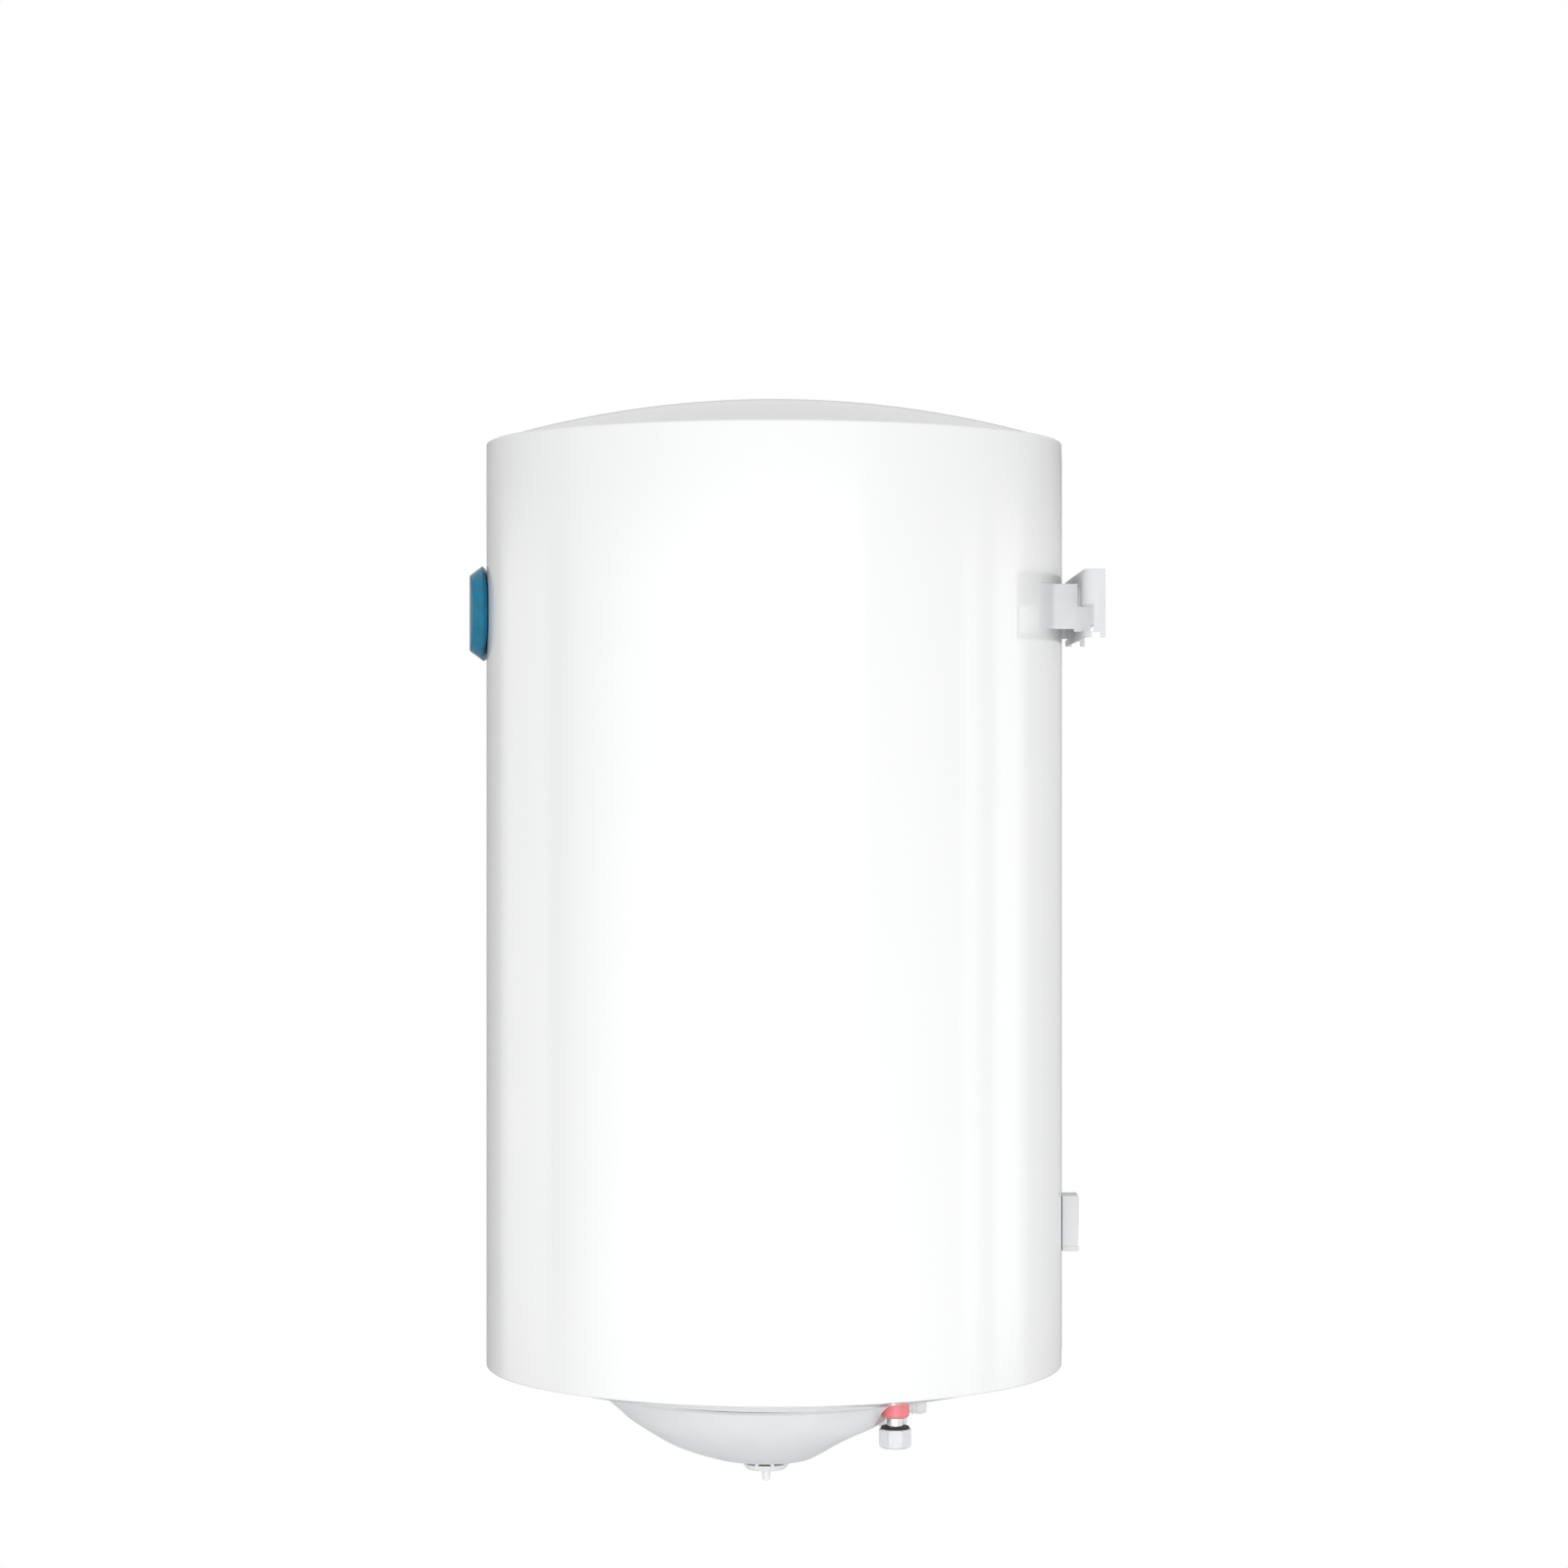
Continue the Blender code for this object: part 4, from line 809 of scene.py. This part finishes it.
def makeSeal(side):
    node = f"{side}_seal"
    low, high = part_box(node)
    outer = (high.x - low.x) / 2
    middle = (low.z + high.z) / 2
    corners = [(6.5 * mm, high.z, 0.3 * mm), (outer - 0.5 * mm, high.z, 0.5 * mm), (outer, middle, 0.5 * mm),
               (outer - 0.3 * mm, low.z, 0.3 * mm), (6.5 * mm, low.z, 0.2 * mm)]
    piece = turnedPiece(f"{side}_rubber_ring", corners, middleOf(node), 96)
    mount(piece, "heater", "black_rubber", rubber, node)


def makeGland():
    # cable gland: a collar with a rounded mouth and three grip rings
    low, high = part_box("cable_gland")
    outer = (high.x - low.x) / 2
    length = high.y - low.y
    corners = [(4.0 * mm, 0, 0.3 * mm), (outer, 0, 0.3 * mm)]
    for ringStart in (8.0 * mm, 11.5 * mm, 15.0 * mm):
        corners += [(outer, ringStart, 0.25 * mm), (outer - 0.6 * mm, ringStart + 0.6 * mm, 0.25 * mm),
                    (outer - 0.6 * mm, ringStart + 1.6 * mm, 0.25 * mm),
                    (outer, ringStart + 2.2 * mm, 0.25 * mm)]
    corners += [(outer, length - 4 * mm, 0.5 * mm), (outer - 1.2 * mm, length, 0.9 * mm),
                (4.0 * mm, length, 0.8 * mm)]
    mesh = turnedMesh("cord_gland", roundedPath(corners, True, 4), (0, 0), 72, True)
    mesh.transform(Matrix.Translation((0, low.y, (low.z + high.z) / 2))
                   @ Matrix.Rotation(-math.pi / 2, 4, "X"))
    mount(linkObject("cord_gland", mesh), "heater", "white_plastic", whiteAbs, "cable_gland")


print("heater: water connections")
makeNut("hot", "hot_union")
makeNut("cold", "cold_union")
for side, slotName, material in (("hot", "red_sleeve", pinkSleeve), ("cold", "blue_sleeve", blueSleeve)):
    makePipe(side)
    makeSleeve(side, slotName, material)
    makeSeal(side)
makeGland()


# ---- wall bracket, arms and spacer
bracket = {"steel": 2.0 * mm, "padWidth": 60 * mm, "padHeight": 30 * mm, "bend": 7.5 * mm, "slotX": 54 * mm,
           "slotWidth": 22 * mm, "slotHeight": 16 * mm, "slotZ": 5 * mm,
           # the tongue's slot through the plate and its bend, and the step under both end flanges
           "windowX": 70.4 * mm, "windowEnd": -8.5 * mm, "windowLow": -22.0 * mm, "windowHigh": -2.0 * mm,
           "stepFrom": -10.0 * mm, "stepTo": -3.5 * mm, "stepTop": -22.5 * mm}


def foldedSheet(name, path, low, high, steel, edge=0.5 * mm, upSteps=8):
    # sheet steel folded along a path seen from above; path holds (x, y, rounding)
    bm = bmesh.new()
    points = roundedPath(path, False, 8)
    rows = []
    for step in range(upSteps + 1):
        height = low + (high - low) * step / upSteps
        rows.append([bm.verts.new((point.x, point.y, height)) for point in points])
    skinRows(bm, rows, around=False)
    piece = linkObject(name, toMesh(bm, name))
    solid = piece.modifiers.new("steel", "SOLIDIFY")
    solid.thickness = steel
    solid.offset = 0.0
    addBevel(piece, edge, 3, 50)
    bpy.context.view_layer.update()
    settle(piece)
    return piece


def roundedBlock(name, low, high, rounding):
    bm = bmesh.new()
    bmesh.ops.create_cube(bm, size=1.0)
    for vert in bm.verts:
        for axis in range(3):
            vert.co[axis] = (low[axis] + high[axis]) / 2 + vert.co[axis] * (high[axis] - low[axis])
    piece = linkObject(name, toMesh(bm, name))
    addBevel(piece, rounding, 5, 30)
    bpy.context.view_layer.update()
    settle(piece)
    return piece


def slotTool(name, x, y, z, width, height, depth):
    # a cutter with round ends, for a punched slot
    bm = bmesh.new()
    corner = 4 * mm
    outline = roundedPath([(x - width / 2, z - height / 2, corner), (x + width / 2, z - height / 2, corner),
                           (x + width / 2, z + height / 2, corner), (x - width / 2, z + height / 2, corner)],
                          True, 6)
    rows = [[bm.verts.new((point.x, y + end * depth / 2, point.y)) for point in outline] for end in (-1, 1)]
    skinRows(bm, rows)
    bm.faces.new(rows[0])
    bm.faces.new(rows[1][::-1])
    return linkObject(name, toMesh(bm, name))


def makeBracket():
    low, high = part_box("hanger_bracket")
    half = bracket["steel"] / 2
    plateY = low.y + half
    end = high.x - half
    bend = bracket["bend"]
    path = [(-end, 0, 0), (-end, plateY, bend), (end, plateY, bend), (end, 0, 0)]
    piece = foldedSheet("wall_bracket", path, low.z, high.z, bracket["steel"])
    wide, tall = bracket["padWidth"] / 2, bracket["padHeight"] / 2
    inset = bracket["steel"]
    carve(piece, roundedBlock("pad", (-wide, plateY - 0.2 * mm, -tall), (wide, 0, tall), 2.5 * mm), "UNION")
    carve(piece, roundedBlock("hollow", (inset - wide, -20 * mm, inset - tall),
                              (wide - inset, -inset, tall - inset), 1.8 * mm))
    for side in (-1, 1):
        carve(piece, slotTool("slot", side * bracket["slotX"], plateY, bracket["slotZ"], bracket["slotWidth"],
                              bracket["slotHeight"], 12 * mm))
        ends = sorted((side * bracket["windowX"], side * (high.x + 1 * mm)))
        carve(piece, roundedBlock("window", (ends[0], -30 * mm, bracket["windowLow"]),
                                  (ends[1], bracket["windowEnd"], bracket["windowHigh"]), 0.6 * mm))
        ends = sorted((side * (high.x - 4 * mm), side * (high.x + 4 * mm)))
        carve(piece, roundedBlock("step", (ends[0], bracket["stepFrom"], low.z - 9 * mm),
                                  (ends[1], bracket["stepTo"], bracket["stepTop"]), 0.8 * mm))
    mount(piece, "heater", "white_enamel", fitting, "hanger_bracket")


arm = {"steel": 2.5 * mm, "bend": 6.0 * mm, "end": -18 * mm, "low": -19.4 * mm,
       "tongueHigh": -2.6 * mm}


def makeArm(side):
    # a folded arm: its foot follows the casing and fades into it, its tongue passes through the bracket
    node = f"hanger_arm_{side}"
    low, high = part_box(node)
    sign = 1 if side == "right" else -1
    half = arm["steel"] / 2
    far = max(abs(low.x), abs(high.x))
    armX = middleOf("hanger_bracket").x + min(abs(low.x), abs(high.x)) + half
    path = []
    for x, proud, rounding in ((far, -1.5 * mm, 0), (far - 9 * mm, -0.5 * mm, 30 * mm),
                               (armX, 1.0 * mm, arm["bend"])):
        path.append((sign * x, axisY + math.sqrt(caseRadius ** 2 - x ** 2) + proud, rounding))
    path.append((sign * armX, arm["end"], 0))
    piece = foldedSheet(f"{side}_bracket_arm", path, arm["low"], high.z, arm["steel"], 0.6 * mm, 4)
    ends = sorted((sign * (armX - half + 0.1 * mm), sign * (armX + half - 0.1 * mm)))
    carve(piece, roundedBlock("tongue", (ends[0], arm["end"] - 3 * mm, low.z),
                              (ends[1], high.y, arm["tongueHigh"]), 0.7 * mm), "UNION")
    mount(piece, "heater", "white_enamel", fitting, node)


spacer = {"rounding": 1.0 * mm, "lip": 3.4 * mm, "arch": 0.8 * mm, "step": 0.67, "rows": 60}


def makeSpacer():
    # block spacer: a pressed arch is drawn in below its upper third, above a plain lower lip
    low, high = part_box("lower_spacer")
    outline = roundedPath([(low.x, low.y, 0.4 * mm), (high.x, low.y, 0.4 * mm),
                           (high.x, high.y, spacer["rounding"]), (low.x, high.y, spacer["rounding"])],
                          True, 5)
    bm = bmesh.new()
    rows = []
    height = high.z - low.z
    for step in range(spacer["rows"] + 1):
        up = step / spacer["rows"]
        above = up * height - spacer["lip"]
        drawn = max(0.0, 1 - above / (spacer["step"] * height - spacer["lip"])) if above > 0 else 0.0
        sink = spacer["arch"] * min(drawn ** 1.4, max(0.0, above / (0.6 * mm)))
        edge = 0.6 * mm * max(0.0, 1 - min(up, 1 - up) * height / (0.8 * mm)) ** 2
        row = []
        for point in outline:
            inward = (sink + edge) / (high.x - low.x) * 2
            row.append(bm.verts.new((point.x * (1 - inward), min(point.y, high.y - sink - edge),
                                     low.z + up * height)))
        rows.append(row)
    skinRows(bm, rows)
    bm.faces.new(rows[0][::-1])
    bm.faces.new(rows[-1])
    piece = linkObject("wall_spacer", toMesh(bm, "wall_spacer", 40))
    mount(piece, "heater", "white_enamel", fitting, "lower_spacer")


print("heater: wall bracket and spacer")
makeBracket()
for side in ("left", "right"):
    makeArm(side)
makeSpacer()


# ---- badge
badge = {"power": 2.9, "steps": 144, "halfWidth": 43 * mm, "halfHeight": 35.5 * mm, "backWide": 40.5 * mm,
         "backTall": 30.2 * mm, "faceWide": 35 * mm, "faceTall": 28.3 * mm, "faceDrop": 4.5 * mm,
         "proud": 3.5 * mm, "gap": 0.7 * mm}


def badgeOutline(halfWidth, halfHeight):
    # a rounded oblong between an oval and a rectangle
    points = []
    for step in range(badge["steps"]):
        angle = 2 * math.pi * step / badge["steps"]
        cosine, sine = math.cos(angle), math.sin(angle)
        points.append((math.copysign(abs(cosine) ** (2 / badge["power"]), cosine) * halfWidth,
                       math.copysign(abs(sine) ** (2 / badge["power"]), sine) * halfHeight))
    return points


def overCasing(x, proud):
    return axisY - math.sqrt((caseRadius + proud) ** 2 - x ** 2)


def badgeRow(bm, middle, halfWidth, halfHeight, depthAt):
    return [bm.verts.new((middle.x + x, depthAt(x), middle.z + z))
            for x, z in badgeOutline(halfWidth, halfHeight)]


def fillRow(bm, middle, row, depthAt, rings=6):
    # closes a row towards its middle with smaller copies of it, so that the face can follow a curve
    rows = [row]
    for ring in range(1, rings):
        share = 1 - ring / rings
        rows.append([bm.verts.new((middle.x + (vert.co.x - middle.x) * share,
                                   depthAt((vert.co.x - middle.x) * share),
                                   middle.z + (vert.co.z - middle.z) * share)) for vert in row])
    rows.append([bm.verts.new((middle.x, depthAt(0), middle.z))])
    skinRows(bm, rows)


def makeBadge():
    middle = middleOf("badge_base")
    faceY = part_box("badge_plate")[0].y
    wide, tall = badge["halfWidth"], badge["halfHeight"]
    faceWide, faceTall = badge["faceWide"], badge["faceTall"]
    split = badge["proud"] + 0.2 * mm

    def faceAt(x, sink=0.0):
        # the face is crowned: it falls away from the middle towards both sides
        return faceY + sink + badge["faceDrop"] * (x / faceWide) ** 2

    bm = bmesh.new()
    back = badgeRow(bm, middle, badge["backWide"], badge["backTall"], lambda x: overCasing(x, badge["gap"]))
    edge = badgeRow(bm, middle, wide, tall, lambda x: overCasing(x, badge["proud"]))
    front = badgeRow(bm, middle, wide - 0.4 * mm, tall - 0.4 * mm, lambda x: overCasing(x, split))
    skinRows(bm, [back, edge, front])
    fillRow(bm, middle, back, lambda x: overCasing(x, badge["gap"]))
    fillRow(bm, middle, front, lambda x: overCasing(x, split))
    base = linkObject("badge_back", toMesh(bm, "badge_back", 25))
    mount(base, "heater", "teal_plastic", teal, "badge_base")

    bm = bmesh.new()
    rows = [badgeRow(bm, middle, wide - 0.5 * mm, tall - 0.5 * mm,
                     lambda x: overCasing(x, split + 0.15 * mm)),
            badgeRow(bm, middle, faceWide + 0.4 * mm, faceTall + 0.35 * mm, lambda x: faceAt(x, 0.4 * mm)),
            badgeRow(bm, middle, faceWide + 0.05 * mm, faceTall, lambda x: faceAt(x, 0.05 * mm)),
            badgeRow(bm, middle, faceWide - 0.6 * mm, faceTall - 0.6 * mm, faceAt)]
    skinRows(bm, rows)
    fillRow(bm, middle, rows[0], lambda x: overCasing(x, split + 0.15 * mm))
    fillRow(bm, middle, rows[-1], faceAt)
    plate = linkObject("badge_face", toMesh(bm, "badge_face", 25))
    mount(plate, "heater", "teal_plastic", teal, "badge_plate")


print("heater: badge")
makeBadge()

# ---- finishes of the pieces that keep their CAD shape
keptFinishes = {
    "insulation_foam": "blown foam", "inner_tank": "tank", "flange_neck": "steel", "flange_plate": "steel",
    "heating_element": "element", "anode_rod": "magnesium", "anode_nut": "steel", "thermowell": "copper",
    "thermostat_rod": "brass", "thermostat_body": "bakelite", "thermostat_bush": "brass",
    "thermostat_spindle": "brass", "live_wire": "brown core", "earth_wire": "green core",
    "neutral_wire": "blue core", "indicator_lamp": "glass", "hot_riser": "steel",
}
keptFinishes.update({f"flange_bolt_{number}": "steel" for number in range(1, 6)})
others = {"flange_gasket": rubber, "reset_button": ruby, "cover_nut": nylon, "terminal_block": nylon,
          "cold_diffuser": nylon}
for nodeName, finishName in keptFinishes.items():
    others[nodeName] = carried[finishName]
for nodeName, material in others.items():
    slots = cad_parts[nodeName].data.materials
    if not slots:
        slots.append(material)
    for index in range(len(slots)):
        slots[index] = material

print("heater: done")
